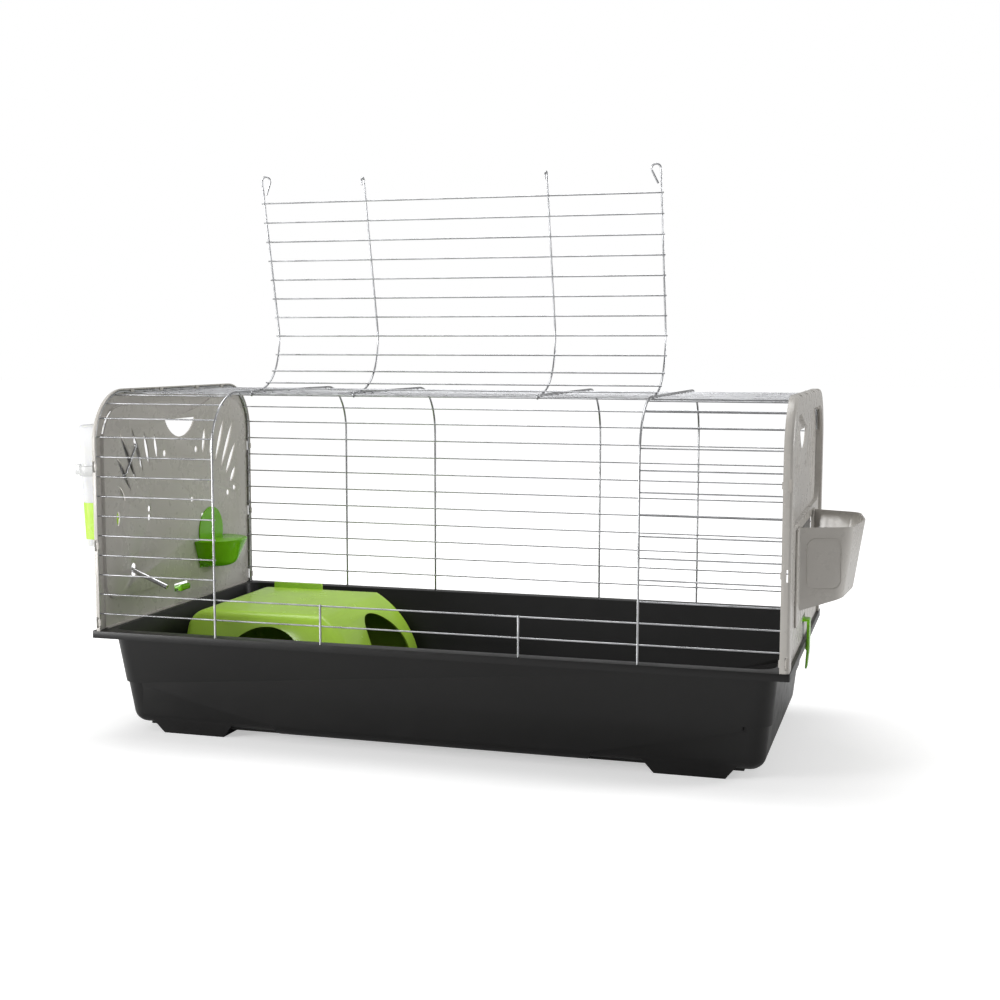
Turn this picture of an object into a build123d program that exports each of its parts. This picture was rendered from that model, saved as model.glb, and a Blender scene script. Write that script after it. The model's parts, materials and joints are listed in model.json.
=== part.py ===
"""Rabbit cage: a plastic tub, a bent wire frame with a hinged door, two moulded end panels and its fittings.

Units are millimetres. +X runs along the cage, +Y from the front to the back, +Z up.
The origin is the centre of the resting plane, under the feet of the tub.
"""
from math import cos, pi, radians, sin, sqrt, tan
import os

from build123d import *

# Tub
TUB_LENGTH = 1000.0          # over the rim
TUB_DEPTH = 500.0            # over the rim
TUB_HEIGHT = 157.0           # resting plane to rim top
TUB_WALL = 2.6
TUB_OVERHANG_X = 18.0        # rim edge to wall, at the top of the wall
TUB_OVERHANG_Y = 19.0
TUB_DRAFT_X = 15.0           # how far an end wall leans in over its height
TUB_DRAFT_Y = 23.0
TUB_CORNER = 26.0
TUB_BOTTOM_EDGE = 20.0
RIM_LEDGE = 3.0
RIM_SKIRT_DROP = 10.0
RIM_SKIRT_WALL = 3.0
RIM_CORNER = 4.0
RELIEF_DEPTH = 3.0           # the lower corner zones lie this much deeper than the walls
RELIEF_CORNER_Z = 77.0
RELIEF_LOW_Z = 27.0
RELIEF_INNER_X = 225.0
FOOT_HEIGHT = 11.0
FOOT_LENGTH = 120.0
FOOT_DEPTH = 60.0
FOOT_CENTRE_X = TUB_LENGTH / 2 - 134.0
FOOT_INSET = 4.0             # foot to the edge of the tub's bottom
FOOT_RISE = 6.0              # how far the feet reach up into the rounded bottom edge
FOOT_FLARE = 12.0

# Wire frame
BAR_R = 1.1
CROSS_R = 1.6
WELD_GAP = 0.02              # keeps two welded wires from sharing volume
BAR_PITCH = 28.5
FIRST_BAR = 25.3             # rim top to lowest bar
BARS_PER_FACE = 13
BAR_PLANE_Y = TUB_DEPTH / 2 - 7.0  # plane of the front and back bars
BAR_PLANE_Z = 499.5          # plane of the top bars
BAR_CORNER = 73.5            # corner radius in the surface of the bars
CROSS_OUTER_X = 303.6        # the two full cross wires
CROSS_INNER_X = 142.4        # the two that stop at the door
PANEL_INNER_X = TUB_LENGTH / 2 - 13.5  # inner face of the end panels' field
END_WIRE_X = PANEL_INNER_X + 2.2       # inside the panels' border
BAR_END_X = PANEL_INNER_X + 4.8
TOP_BARS = 10                # spaces between the hinge bar and the first bar of the back corner
UPRIGHT_OVER = 2.5           # how far the short uprights stand over the sill bar

# Door
DOOR_WIRE_R = 1.4
DOOR_OUTER_X = 297.4
DOOR_INNER_X = 136.7
DOOR_OVERHANG = 3.1          # door bars past the outer door wires
HINGE_CLEARANCE = 0.1        # eye over hinge bar
DOOR_OPEN_DEG = 166.7        # closed to the open position in which the door rests
EYE_DEG = 262.0
LOOP_R = 6.5                 # loops at the ends of the outer door wires
LOOP_REACH = 32.0            # last door bar to the loop's centre
LOOP_TURN = 205.0
LOOP_TAIL = 19.0
HOOK_R = 5.0                 # hooks at the ends of the inner door wires
HOOK_REACH = 28.4
HOOK_TAIL = 5.0

# End panels
PANEL_WALL = 2.2
PANEL_SIDE_WALL = 2.0
RIGHT_FACE_X = PANEL_INNER_X + 8.5   # outer face between field and border
RIGHT_BORDER_X = PANEL_INNER_X + 12.5  # outer face of the border
LEFT_FACE_X = PANEL_INNER_X + 6.0
LEFT_BORDER_X = PANEL_INNER_X + 7.5
BORDER_EDGE = 5.0
PANEL_HALF_DEPTH = BAR_PLANE_Y + 6.5
PANEL_TOP = 506.5
PANEL_CORNER = 80.0
BORDER = 25.0
FIELD_BOTTOM_Z = 200.0
FIELD_SHOULDER_Z = 470.0
FIELD_CREST_Z = 481.0
FIELD_DIP_Z = 458.0
FIELD_CREST_Y = 105.0
FIELD_BOW = 3.0
FIELD_CORNER = 25.0
FIELD_DIP_SAG = 0.125        # of the crest's height over the dip
TAB_GAP = 0.3
TAB_WALL = 1.6
TAB_LENGTH = 9.0
HAND_HOLD_WIDTH = 97.0
HAND_HOLD_HEIGHT = 29.0
HAND_HOLD_TOP = 455.0
VENT_WIDTH = 9.5
WINDOW = (5.0, 16.0)         # width and length of the windows in the border's side
WINDOW_IN = 1.0              # window to the border's outer face
CLIP_HOLE = (44.0, 13.0)
CLIP_HOLE_Z = 184.8

# Hay opening and rack, on the right panel
HAY_HALF_WIDTH = 112.0
HAY_LOW = 212.0
HAY_HIGH = 322.0
HAY_FRAME = 14.0             # flat ring round the hay opening
HAY_CORNER = 10.0
GRILLE_R = 1.2
GRILLE_PITCH = 15.0
GRILLE_BARS = 15
RACK_GAP = 0.3
RACK_WALL = 2.4
RACK_FLANGE = 2.5
RACK_HALF_WIDTH = 124.0
RACK_FLANGE_HALF = 150.0
RACK_REACH = 83.0            # border face to the tip of the rack
RACK_TOP = 329.0
RACK_FLANGE_BOTTOM = 197.0
RACK_BOTTOM = 214.0
RACK_RISE = 24.0             # how much higher the bottom is at the outside
RACK_HOOK_Y = 67.5
RACK_HOOK_WIDTH = 8.0
RACK_HOOK_DROP = 8.0
RACK_HOOK_WALL = 2.0
RACK_SIDE_SHARE = 0.77       # half width at the outer corners, of that at the panel
RACK_BOW = 12.0              # tip past the outer corners, at the rim
RACK_FOOT_IN = 12.0          # how far the foot is drawn in at each side
RACK_FOOT_BACK = 28.0        # tip of the rim to the outer corners of the foot
RACK_FOOT_TIP_BACK = 18.0    # tip of the rim to the tip of the foot
RACK_CORNER = 26.0
RACK_FOOT_CORNER = 22.0
RACK_TIP_ROUND = 6.0         # tip radius, in corner radii
RACK_FLANGE_CORNER = 8.0
RACK_CLIP_ROOM = (50.0, 14.0)
GRILLE_OVERLAP = 8.0         # grille bars past the hay opening
GRILLE_RAIL_IN = 2.0         # bar end to rail
GRILLE_RAIL_OVER = 4.0

# Food bowl, on the left panel
BOWL_Y = PANEL_HALF_DEPTH - 154.5
BOWL_RIM_Z = 252.0
BOWL_DEPTH = 45.0
BOWL_HALF_WIDTH = 57.0
BOWL_REACH = 62.0
BOWL_WALL = 2.0
BOWL_PLATE = 2.5
BOWL_PLATE_TOP = 304.0
BOWL_PLATE_HALF = 39.0
BOWL_PEG_WIDTH = 8.0
BOWL_PEG_HEIGHT = 4.0
BOWL_PEG_Y = 24.0            # each side of the bowl's middle
BOWL_PEG_HOOK = 6.0          # how far a peg reaches down behind the panel
BOWL_PEG_WALL = 2.0
BOWL_SLOT_LOW = 281.5
BOWL_SLOT_HEIGHT = 14.5
BOWL_SLOT_SPARE = 1.5        # slot wider than the peg, each side
BOWL_BACK_SHARE = 0.94       # half width at the panel, of the largest
BOWL_SHOULDER_SHARE = 0.7    # reach to the largest width, of the whole reach
BOWL_FOOT_WIDTH_SHARE = 0.62 # foot to rim
BOWL_FOOT_REACH_SHARE = 0.6
BOWL_CORNER = 20.0
BOWL_FOOT_CORNER = 16.0
BOWL_RIM_FLARE = 1.0         # the hollow's growth over the rim

# Shelter
SHELTER_LEFT = 53.0 - TUB_LENGTH / 2
SHELTER_RIGHT = SHELTER_LEFT + 305.0
SHELTER_BACK = TUB_DEPTH / 2 - 64.0
SHELTER_FRONT = SHELTER_BACK - 271.0
SHELTER_HEIGHT = 143.0
SHELTER_WALL = 2.5
SHELTER_LEFT_R = 30.0        # roof edge at the left
SHELTER_ROOF_RIGHT = SHELTER_RIGHT - 80.0  # where the roof starts to curve down to the right
SHELTER_CURVE_Z = 47.0       # where that curve meets the right wall, over the shelter's foot
SHELTER_CURVE_DROP = 37.0    # roof down to the middle of that curve
SHELTER_RIGHT_LEAN = 7.0
SHELTER_FRONT_EDGE = 16.0    # rounding of the front wall into the roof
SHELTER_BACK_EDGE = 14.0
SHELTER_LEAN = 26.0          # how far the front wall leans back over the upper part
SHELTER_LEAN_Z = 88.0        # where that lean starts, over the shelter's foot
SHELTER_CORNER = 45.0        # front right corner, in plan
FRONT_ARCH_X = SHELTER_LEFT + 141.0
FRONT_ARCH_FOOT = 128.0      # width at the floor
FRONT_ARCH_SHOULDER = 104.0
FRONT_ARCH_SHOULDER_Z = 102.0
FRONT_ARCH_HEIGHT = 124.0
SIDE_ARCH_R = 72.0
SIDE_ARCH_Y = SHELTER_FRONT + 155.0
SIDE_ARCH_HEIGHT = 126.0
SHELTER_TAB = (87.0, 6.0, 18.0)
SHELTER_TAB_X = SHELTER_LEFT + 77.0
SHELTER_TAB_OVER = 7.0       # how far the tab stands over the roof

# Drinking bottle, outside the left panel
BOTTLE_Y = 98.5 - PANEL_HALF_DEPTH
BOTTLE_X = -LEFT_FACE_X - 35.0
BOTTLE_TOP = 452.0
BOTTLE_BOTTOM = 270.0
BOTTLE_TOP_SIZE = (66.0, 70.0)
BOTTLE_BOTTOM_SIZE = (54.0, 60.0)
BOTTLE_CORNER = 16.0
BOTTLE_EDGE = 5.0
BOTTLE_WALL = 1.5
NECK_R = 12.0
NECK_LENGTH = 14.0
CAP_R = 17.0
CAP_WALL = 2.0
CAP_HEIGHT = 30.0
CAP_EDGE = 3.0
CAP_BOTTOM = 3.5
CAP_TOP_GAP = 1.0
CAP_THREAD_GAP = 0.05
SEAL_THICKNESS = 1.5
SEAL_RIM = 3.0
SPOUT_SET_IN = 8.0
SPOUT_R = 3.75
SPOUT_BORE = 2.7
SPOUT_SLOPE_DEG = 22.0
SPOUT_TIP_X = 55.5 - PANEL_INNER_X
SPOUT_TIP_Z = 209.5
SPOUT_MOUTH_R = 2.0
SPOUT_HOLE = (14.0, 22.0)    # width and height of the panel's hole
BALL_R = 2.62
BALL_SEAT = 0.05
HOLDER_Z = 383.5
HOLDER_HEIGHT = 15.0
HOLDER_WALL = 3.0
HOLDER_GAP = 0.3
HOLDER_PLATE = 2.0
HOLDER_PLATE_TOP = 418.0
HOLDER_LUG = (16.0, 18.0)    # reach and width of the grip on the outside
HANGER_R = 1.25
HANGER_TOP = (-137.3, 422.0) # where the wire comes in through a vent slot, (y, z)
HANGER_LOW = (-170.5, 378.5) # where it goes out again
SPOUT_LIP = 0.6
SPOUT_SEAT = 0.02            # tube in cap
BOSS_LENGTH = 14.0
BOSS_INSET = 8.0
FITTING_GAP = 0.3            # hung fittings and clips clear the panel by this much

# Clips that hold the panels down on the rim
CLIP_WIDTH = 24.0
CLIP_ARM = 3.0
CLIP_STRAND = 3.6
CLIP_BEAD_R = 2.6
CLIP_BEAD_X = 2.1            # inner face of the panel to the bead's axis
CLIP_BEAD_Z = 184.0
CLIP_HEAD = (9.0, 10.0)     # grip inside the cage
CLIP_HEAD_CORNER = 3.5
CLIP_HEAD_OUT = 1.0          # head past the bead's axis
CLIP_LIP = 2.5
CLIP_LIP_DROP = 4.5
CLIP_RIM_GAP = 0.6
CLIP_CATCH = 3.0
CLIP_CATCH_GAP = 1.2
CLIP_CATCH_SLOPE = 5.0
CLIP_TAIL_Z = 115.0
CLIP_TAIL_WALL = 2.6
CLIP_TAIL_IN = 1.6

PARTS = "parts"


def save(name, shape):
    """Writes one named piece."""
    export_step(shape, os.path.join(PARTS, name + ".step"))


def together(pieces):
    """Groups separate solids in one node."""
    return Compound(children=[solid for piece in pieces for solid in piece.solids()])


def rod_x(x0, x1, y, z, radius):
    """A straight wire along X."""
    return Pos((x0 + x1) / 2, y, z) * Rot(0, 90, 0) * Cylinder(radius, x1 - x0)


def block(x0, x1, y0, y1, z0, z1):
    """A box by its limits, in any order."""
    centre = Pos((x0 + x1) / 2, (y0 + y1) / 2, (z0 + z1) / 2)
    return centre * Box(abs(x1 - x0), abs(y1 - y0), abs(z1 - z0))


def swept_wire(path, radius):
    """A round wire along a path of tangent lines and arcs."""
    section = Plane(origin=path @ 0, z_dir=path % 0) * Circle(radius)
    return sweep(section, path=path)


def mirror_x(shape):
    return mirror(shape, about=Plane.YZ)


# Wire frame: places along the bent surface of the bars

ARC_START_Z = BAR_PLANE_Z - BAR_CORNER
FIRST_BAR_Z = TUB_HEIGHT + FIRST_BAR
ARC_LENGTH = BAR_CORNER * pi / 2


def front_place(index, offset=0.0):
    """Place (y, z) of front bar 1 to 13, counted from the top, or of bar 0 and -1 on top of the cage."""
    run = (BARS_PER_FACE - index) * BAR_PITCH
    straight = ARC_START_Z - FIRST_BAR_Z
    if run <= straight:
        return -BAR_PLANE_Y - offset, FIRST_BAR_Z + run
    angle = (run - straight) / BAR_CORNER
    if angle <= pi / 2:
        reach = BAR_CORNER + offset
        return -BAR_PLANE_Y + BAR_CORNER - reach * cos(angle), ARC_START_Z + reach * sin(angle)
    return -BAR_PLANE_Y + BAR_CORNER + run - straight - ARC_LENGTH, BAR_PLANE_Z + offset


HINGE_Y, HINGE_Z = front_place(-1)
SILL_Z = front_place(12)[1]
FIRST_FLAT_BAR = 5           # bars from here down lie in the straight part of the face


def frame_path(x, offset, front_end):
    """The path of a cross wire that lies outside the bars; front_end is rim or hinge."""
    y = BAR_PLANE_Y + offset
    z = BAR_PLANE_Z + offset
    radius = BAR_CORNER + offset
    edges = []
    if front_end == "rim":
        edges.append(Line((-y, TUB_HEIGHT), (-y, z - radius)))
        edges.append(CenterArc((-y + radius, z - radius), radius, 180, -90))
        edges.append(Line((-y + radius, z), (y - radius, z)))
    else:
        edges.append(Line((HINGE_Y - BAR_R, z), (y - radius, z)))
    edges.append(CenterArc((y - radius, z - radius), radius, 90, -90))
    edges.append(Line((y, z - radius), (y, TUB_HEIGHT)))
    return Plane.YZ.offset(x) * Wire(edges)


def make_frame():
    """All wires that stay put."""
    offset = BAR_R + CROSS_R + WELD_GAP
    crosses = {"cross_wire_left": -CROSS_OUTER_X, "cross_wire_right": CROSS_OUTER_X,
               "end_wire_left": -END_WIRE_X, "end_wire_right": END_WIRE_X}
    for name, x in crosses.items():
        save(name, swept_wire(frame_path(x, offset, "rim"), CROSS_R))
    save("back_cross_wire_left", swept_wire(frame_path(-CROSS_INNER_X, offset, "hinge"), CROSS_R))
    save("back_cross_wire_right", swept_wire(frame_path(CROSS_INNER_X, offset, "hinge"), CROSS_R))
    upright_y = -BAR_PLANE_Y - offset
    upright_length = SILL_Z + UPRIGHT_OVER - TUB_HEIGHT
    uprights = [Pos(x, upright_y, TUB_HEIGHT + upright_length / 2) * Cylinder(CROSS_R, upright_length)
                for x in (-CROSS_INNER_X, CROSS_INNER_X)]
    save("door_sill_uprights", together(uprights))

    short_end = CROSS_OUTER_X - CROSS_R
    spans = {"left": (-BAR_END_X, -short_end), "right": (short_end, BAR_END_X)}
    for side, (x0, x1) in spans.items():
        flat = [rod_x(x0, x1, *front_place(index), BAR_R) for index in range(FIRST_FLAT_BAR, 12)]
        bent = [rod_x(x0, x1, *front_place(index), BAR_R) for index in range(0, FIRST_FLAT_BAR)]
        save("front_bars_" + side, together(flat))
        save("corner_bars_" + side, together(bent))
    for name, index in (("sill_bar", 12), ("bottom_bar", 13)):
        save(name, rod_x(-BAR_END_X, BAR_END_X, *front_place(index), BAR_R))
    save("hinge_bar", rod_x(-BAR_END_X, BAR_END_X, HINGE_Y, HINGE_Z, BAR_R))

    last_top_y = -front_place(0)[0]
    pitch = (last_top_y - HINGE_Y) / TOP_BARS
    top = [rod_x(-BAR_END_X, BAR_END_X, HINGE_Y + pitch * step, BAR_PLANE_Z, BAR_R)
           for step in range(1, TOP_BARS + 1)]
    save("top_bars", together(top))
    back = []
    corner = []
    for index in range(1, BARS_PER_FACE + 1):
        y, z = front_place(index)
        rows = corner if index < FIRST_FLAT_BAR else back
        rows.append(rod_x(-BAR_END_X, BAR_END_X, -y, z, BAR_R))
    save("back_bars", together(back))
    save("back_corner_bars", together(corner))
    return pitch


# Door, drawn closed and then turned open about the hinge bar

EYE_R = BAR_R + HINGE_CLEARANCE + DOOR_WIRE_R
DOOR_BAR_OFFSET = EYE_R - BAR_R - DOOR_WIRE_R - WELD_GAP
DOOR_END_Z = front_place(11)[1]


def opened(shape):
    """Turns a closed door piece to the open rest position."""
    axis = Axis((0, HINGE_Y, HINGE_Z), (1, 0, 0))
    return shape.rotate(axis, -DOOR_OPEN_DEG)


def door_path(end_edges):
    """Closed door wire in the YZ plane: eye round the hinge bar, run forward, corner, run down, end."""
    y = -BAR_PLANE_Y - EYE_R
    z = HINGE_Z + EYE_R
    radius = BAR_CORNER + EYE_R
    eye = CenterArc((HINGE_Y, HINGE_Z), EYE_R, 90 - EYE_DEG, EYE_DEG)
    run = Line((HINGE_Y, z), (y + radius, z))
    bend = CenterArc((y + radius, z - radius), radius, 90, 90)
    return [eye, run, bend] + end_edges


def inner_door_wire(x):
    """Door wire that ends in a hook turned to the inside."""
    y = -BAR_PLANE_Y - EYE_R
    centre_z = DOOR_END_Z - HOOK_REACH
    edges = [Line((y, HINGE_Z + EYE_R - BAR_CORNER - EYE_R), (y, centre_z)),
             CenterArc((y + HOOK_R, centre_z), HOOK_R, 180, 180),
             Line((y + 2 * HOOK_R, centre_z), (y + 2 * HOOK_R, centre_z + HOOK_TAIL))]
    return swept_wire(Plane.YZ.offset(x) * Wire(door_path(edges)), DOOR_WIRE_R)


def outer_door_wire(x):
    """Door wire that ends in a flat loop turned to the middle of the door."""
    y = -BAR_PLANE_Y - EYE_R
    centre_z = DOOR_END_Z - LOOP_REACH
    straight_end = Line((y, HINGE_Z - BAR_CORNER), (y, centre_z + LOOP_R))
    shaft = swept_wire(Plane.YZ.offset(x) * Wire(door_path([straight_end])), DOOR_WIRE_R)
    inward = -1 if x > 0 else 1
    loop_plane = Plane(origin=(x, y, centre_z), x_dir=(inward, 0, 0), z_dir=(0, -inward, 0))
    start = 180.0
    turn_end = start + LOOP_TURN
    end_x = LOOP_R + LOOP_R * cos(radians(turn_end))
    end_z = LOOP_R * sin(radians(turn_end))
    tail_dir = (-sin(radians(turn_end)), cos(radians(turn_end)))
    tail_end = (end_x + LOOP_TAIL * tail_dir[0], end_z + LOOP_TAIL * tail_dir[1])
    edges = [Line((0, LOOP_R), (0, 0)),
             CenterArc((LOOP_R, 0), LOOP_R, start, LOOP_TURN),
             Line((end_x, end_z), tail_end)]
    loop = swept_wire(loop_plane * Wire(edges), DOOR_WIRE_R)
    return shaft + loop


def make_door():
    """Door wires with their eyes, and the door bars."""
    for side, sign in (("left", -1), ("right", 1)):
        save("door_outer_wire_" + side, opened(outer_door_wire(sign * DOOR_OUTER_X)))
        save("door_inner_wire_" + side, opened(inner_door_wire(sign * DOOR_INNER_X)))
    half = DOOR_OUTER_X + DOOR_OVERHANG
    flat = []
    bent = []
    for index in range(0, 12):
        rows = bent if index < FIRST_FLAT_BAR else flat
        rows.append(opened(rod_x(-half, half, *front_place(index, DOOR_BAR_OFFSET), BAR_R)))
    save("door_bars", together(flat))
    save("door_corner_bars", together(bent))


# Tub

WALL_TOP_Z = TUB_HEIGHT - RIM_LEDGE
BOTTOM_Z = FOOT_HEIGHT
FLOOR_Z = BOTTOM_Z + TUB_WALL + RELIEF_DEPTH


def tapered(inset, z0, z1):
    """The tub's leaning walls, moved in by inset, between two heights."""
    rise = WALL_TOP_Z - BOTTOM_Z
    faces = []
    for z in (z0, z1):
        share = (WALL_TOP_Z - z) / rise
        half_x = TUB_LENGTH / 2 - TUB_OVERHANG_X - TUB_DRAFT_X * share - inset
        half_y = TUB_DEPTH / 2 - TUB_OVERHANG_Y - TUB_DRAFT_Y * share - inset
        faces.append(Plane.XY.offset(z) * RectangleRounded(2 * half_x, 2 * half_y, TUB_CORNER - inset))
    return loft(faces, ruled=True)


def soft_bottom(body, radius):
    edges = body.edges().group_by(Axis.Z)[0]
    return fillet(edges, radius)


def relief_zone(grow):
    """The lower zones at both ends of the tub, which the swept step line bounds, grown by a margin."""
    far_x = TUB_LENGTH
    deep = TUB_DEPTH
    low = BOTTOM_Z - TUB_WALL
    end_x = TUB_LENGTH / 2 - TUB_OVERHANG_X - TUB_DRAFT_X - RELIEF_DEPTH
    band_y = TUB_DEPTH / 2 - TUB_OVERHANG_Y - TUB_DRAFT_Y - RELIEF_DEPTH - TUB_CORNER / 2
    mid_x = (end_x + RELIEF_INNER_X) / 2
    mid_z = (RELIEF_CORNER_Z + RELIEF_LOW_Z) / 2 - RELIEF_DEPTH + grow
    inner_x = RELIEF_INNER_X - grow
    corner = (end_x, RELIEF_CORNER_Z + grow)
    turn = (inner_x + FOOT_FLARE, RELIEF_LOW_Z + grow)
    outline = [ThreePointArc(corner, (mid_x, mid_z), turn),
               Line(turn, (inner_x, low)),
               Line((inner_x, low), (far_x, low)),
               Line((far_x, low), (far_x, corner[1])),
               Line((far_x, corner[1]), corner)]
    sheet = Plane.XZ * make_face(Wire(outline))
    band = extrude(sheet, amount=deep, both=True) - Box(4 * far_x, 2 * band_y, 4 * deep)
    end_wall = block(end_x - TUB_CORNER, far_x, -deep, deep, low, corner[1])
    zone = band + end_wall
    return zone + mirror_x(zone)


def make_tub():
    """One moulding: leaning walls with a relief, a floor, four feet and a rim with a skirt."""
    proud = soft_bottom(tapered(0, BOTTOM_Z, WALL_TOP_Z), TUB_BOTTOM_EDGE)
    deep = soft_bottom(tapered(RELIEF_DEPTH, BOTTOM_Z + RELIEF_DEPTH, WALL_TOP_Z), TUB_BOTTOM_EDGE)
    body = (proud - relief_zone(0)) + deep
    foot_y = TUB_DEPTH / 2 - TUB_OVERHANG_Y - TUB_DRAFT_Y - FOOT_INSET - FOOT_DEPTH / 2
    top_z = FLOOR_Z + FOOT_RISE
    foot = loft([Rectangle(FOOT_LENGTH - 2 * FOOT_FLARE, FOOT_DEPTH - FOOT_FLARE),
                 Plane.XY.offset(top_z) * Rectangle(FOOT_LENGTH + FOOT_FLARE, FOOT_DEPTH)], ruled=True)
    for x in (-FOOT_CENTRE_X, FOOT_CENTRE_X):
        for y in (-foot_y, foot_y):
            body = body + Pos(x, y, 0) * foot
    ledge = Plane.XY.offset(WALL_TOP_Z) * RectangleRounded(TUB_LENGTH, TUB_DEPTH, RIM_CORNER)
    rim = extrude(ledge, amount=RIM_LEDGE)
    skirt_z = TUB_HEIGHT - RIM_SKIRT_DROP
    outer = Plane.XY.offset(skirt_z) * RectangleRounded(TUB_LENGTH, TUB_DEPTH, RIM_CORNER)
    inner = Plane.XY.offset(skirt_z) * RectangleRounded(TUB_LENGTH - 2 * RIM_SKIRT_WALL,
                                                         TUB_DEPTH - 2 * RIM_SKIRT_WALL,
                                                         RIM_CORNER - RIM_SKIRT_WALL)
    rim = rim + extrude(outer - inner, amount=RIM_SKIRT_DROP - RIM_LEDGE)
    open_z = TUB_HEIGHT + RIM_LEDGE
    narrow = soft_bottom(tapered(RELIEF_DEPTH + TUB_WALL, FLOOR_Z, open_z), TUB_BOTTOM_EDGE - TUB_WALL)
    wide = soft_bottom(tapered(TUB_WALL, FLOOR_Z, open_z), TUB_BOTTOM_EDGE - TUB_WALL)
    save("base_tub", body + rim - narrow - (wide - relief_zone(TUB_WALL)))


# End panels, drawn for the right side

FIELD_OUTER_X = PANEL_INNER_X + PANEL_WALL
RACK_SIDE_INNER_X = RIGHT_FACE_X - PANEL_WALL


def arch(inset, bottom):
    """The panel's outline, moved in by inset, with rounded top corners."""
    half = PANEL_HALF_DEPTH - inset
    top = PANEL_TOP - inset
    sheet = Pos(0, (top + bottom) / 2) * Rectangle(2 * half, top - bottom)
    corners = sheet.vertices().group_by(Axis.Y)[-1]
    return fillet(corners, PANEL_CORNER - inset)


def field(bottom, grow):
    """The panel's recessed field, with a swept upper edge that dips over the hand-hold."""
    half = PANEL_HALF_DEPTH - BORDER + grow
    crest = FIELD_CREST_Y
    shoulder_z = FIELD_SHOULDER_Z + grow
    crest_z = FIELD_CREST_Z + grow
    dip_z = FIELD_DIP_Z + grow
    side_mid = ((half + crest) / 2, (shoulder_z + crest_z) / 2 + FIELD_BOW)
    dip_mid = (crest / 2, (crest_z + dip_z) / 2 - (crest_z - dip_z) * FIELD_DIP_SAG)
    edges = [Line((-half, bottom - grow), (half, bottom - grow)),
             Line((half, bottom - grow), (half, shoulder_z)),
             ThreePointArc((half, shoulder_z), side_mid, (crest, crest_z)),
             ThreePointArc((crest, crest_z), dip_mid, (0, dip_z)),
             ThreePointArc((0, dip_z), (-dip_mid[0], dip_mid[1]), (-crest, crest_z)),
             ThreePointArc((-crest, crest_z), (-side_mid[0], side_mid[1]), (-half, shoulder_z)),
             Line((-half, shoulder_z), (-half, bottom - grow))]
    sheet = make_face(Wire(edges))
    return fillet(sheet.vertices().group_by(Axis.Y)[0], FIELD_CORNER + grow)


def lens(start, end, width):
    """A slot pointed at both ends, from start to end."""
    dy = end[0] - start[0]
    dz = end[1] - start[1]
    length = sqrt(dy * dy + dz * dz)
    side = (-dz / length * width / 2, dy / length * width / 2)
    middle = ((start[0] + end[0]) / 2, (start[1] + end[1]) / 2)
    return make_face(Wire([
        ThreePointArc(start, (middle[0] + side[0], middle[1] + side[1]), end),
        ThreePointArc(end, (middle[0] - side[0], middle[1] - side[1]), start)]))


# Vent slots as upper end and lower end, (y, z): the first list is cut in both halves of both panels
VENTS = [((82, 436), (73, 394)), ((113, 440), (98, 386)), ((149, 448), (117, 378)),
         ((183, 444), (137, 366)), ((192, 407), (153, 353)), ((190, 364), (170, 339)),
         ((51, 408), (51, 397))]
BACK_VENTS = [((186, 333), (184, 324)), ((162, 327), (160, 317)), ((35, 326), (35, 318))]
FRONT_VENTS = [((-191, 327), (-192, 303)), ((-101, 326), (-101.5, 315.5)),
               ((-101.5, 313), (-102, 302))]


def slab(sheet, x0, x1):
    """A YZ sheet made solid between two places along X."""
    return extrude(Plane.YZ.offset(x0) * sheet, amount=x1 - x0)


def hand_hold():
    """D-shaped opening, flat side up."""
    half = HAND_HOLD_WIDTH / 2
    low = HAND_HOLD_TOP - HAND_HOLD_HEIGHT
    edges = [Line((-half, HAND_HOLD_TOP), (half, HAND_HOLD_TOP)),
             ThreePointArc((half, HAND_HOLD_TOP), (0, low), (-half, HAND_HOLD_TOP))]
    return make_face(Wire(edges))


def side_tab_heights():
    """Heights of the panel's snap tabs on the front and back edges, midway between bars."""
    upper = [front_place(index + 0.5)[1] for index in (5, 9)]
    return upper + [(TUB_HEIGHT + FIRST_BAR_Z) / 2]


def panel_tabs(top_pitch, border_x):
    """Small hooks that grip the end wire, and the windows in the border beside them."""
    wire_out = BAR_R + 2 * CROSS_R + WELD_GAP
    wire_y = BAR_PLANE_Y + wire_out + TAB_GAP
    wire_z = BAR_PLANE_Z + wire_out + TAB_GAP
    lip_x = END_WIRE_X - CROSS_R - TAB_GAP
    half = TAB_LENGTH / 2
    window_half = WINDOW[1] / 2
    window_x = (border_x - WINDOW_IN - WINDOW[0], border_x - WINDOW_IN)
    tabs = []
    windows = []
    for z in side_tab_heights():
        for sign in (-1, 1):
            edge_y = sign * PANEL_HALF_DEPTH
            hook_y = sign * (wire_y - 2 * CROSS_R)
            tabs.append(block(lip_x - TAB_WALL, FIELD_OUTER_X, sign * wire_y, edge_y, z - half, z + half))
            tabs.append(block(lip_x - TAB_WALL, lip_x, hook_y, sign * wire_y, z - half, z + half))
            windows.append(block(*window_x, edge_y + sign, edge_y - sign * (PANEL_SIDE_WALL + 1),
                                 z - window_half, z + window_half))
    for step in (-0.5, 2.5, 6.5, 9.5):
        y = HINGE_Y + top_pitch * step
        tabs.append(block(lip_x - TAB_WALL, FIELD_OUTER_X, y - half, y + half, wire_z, PANEL_TOP))
        tabs.append(block(lip_x - TAB_WALL, lip_x, y - half, y + half, wire_z - 2 * CROSS_R, wire_z))
        windows.append(block(*window_x, y - window_half, y + window_half,
                             PANEL_TOP - PANEL_SIDE_WALL - 1, PANEL_TOP + 1))
    return tabs, windows


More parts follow.
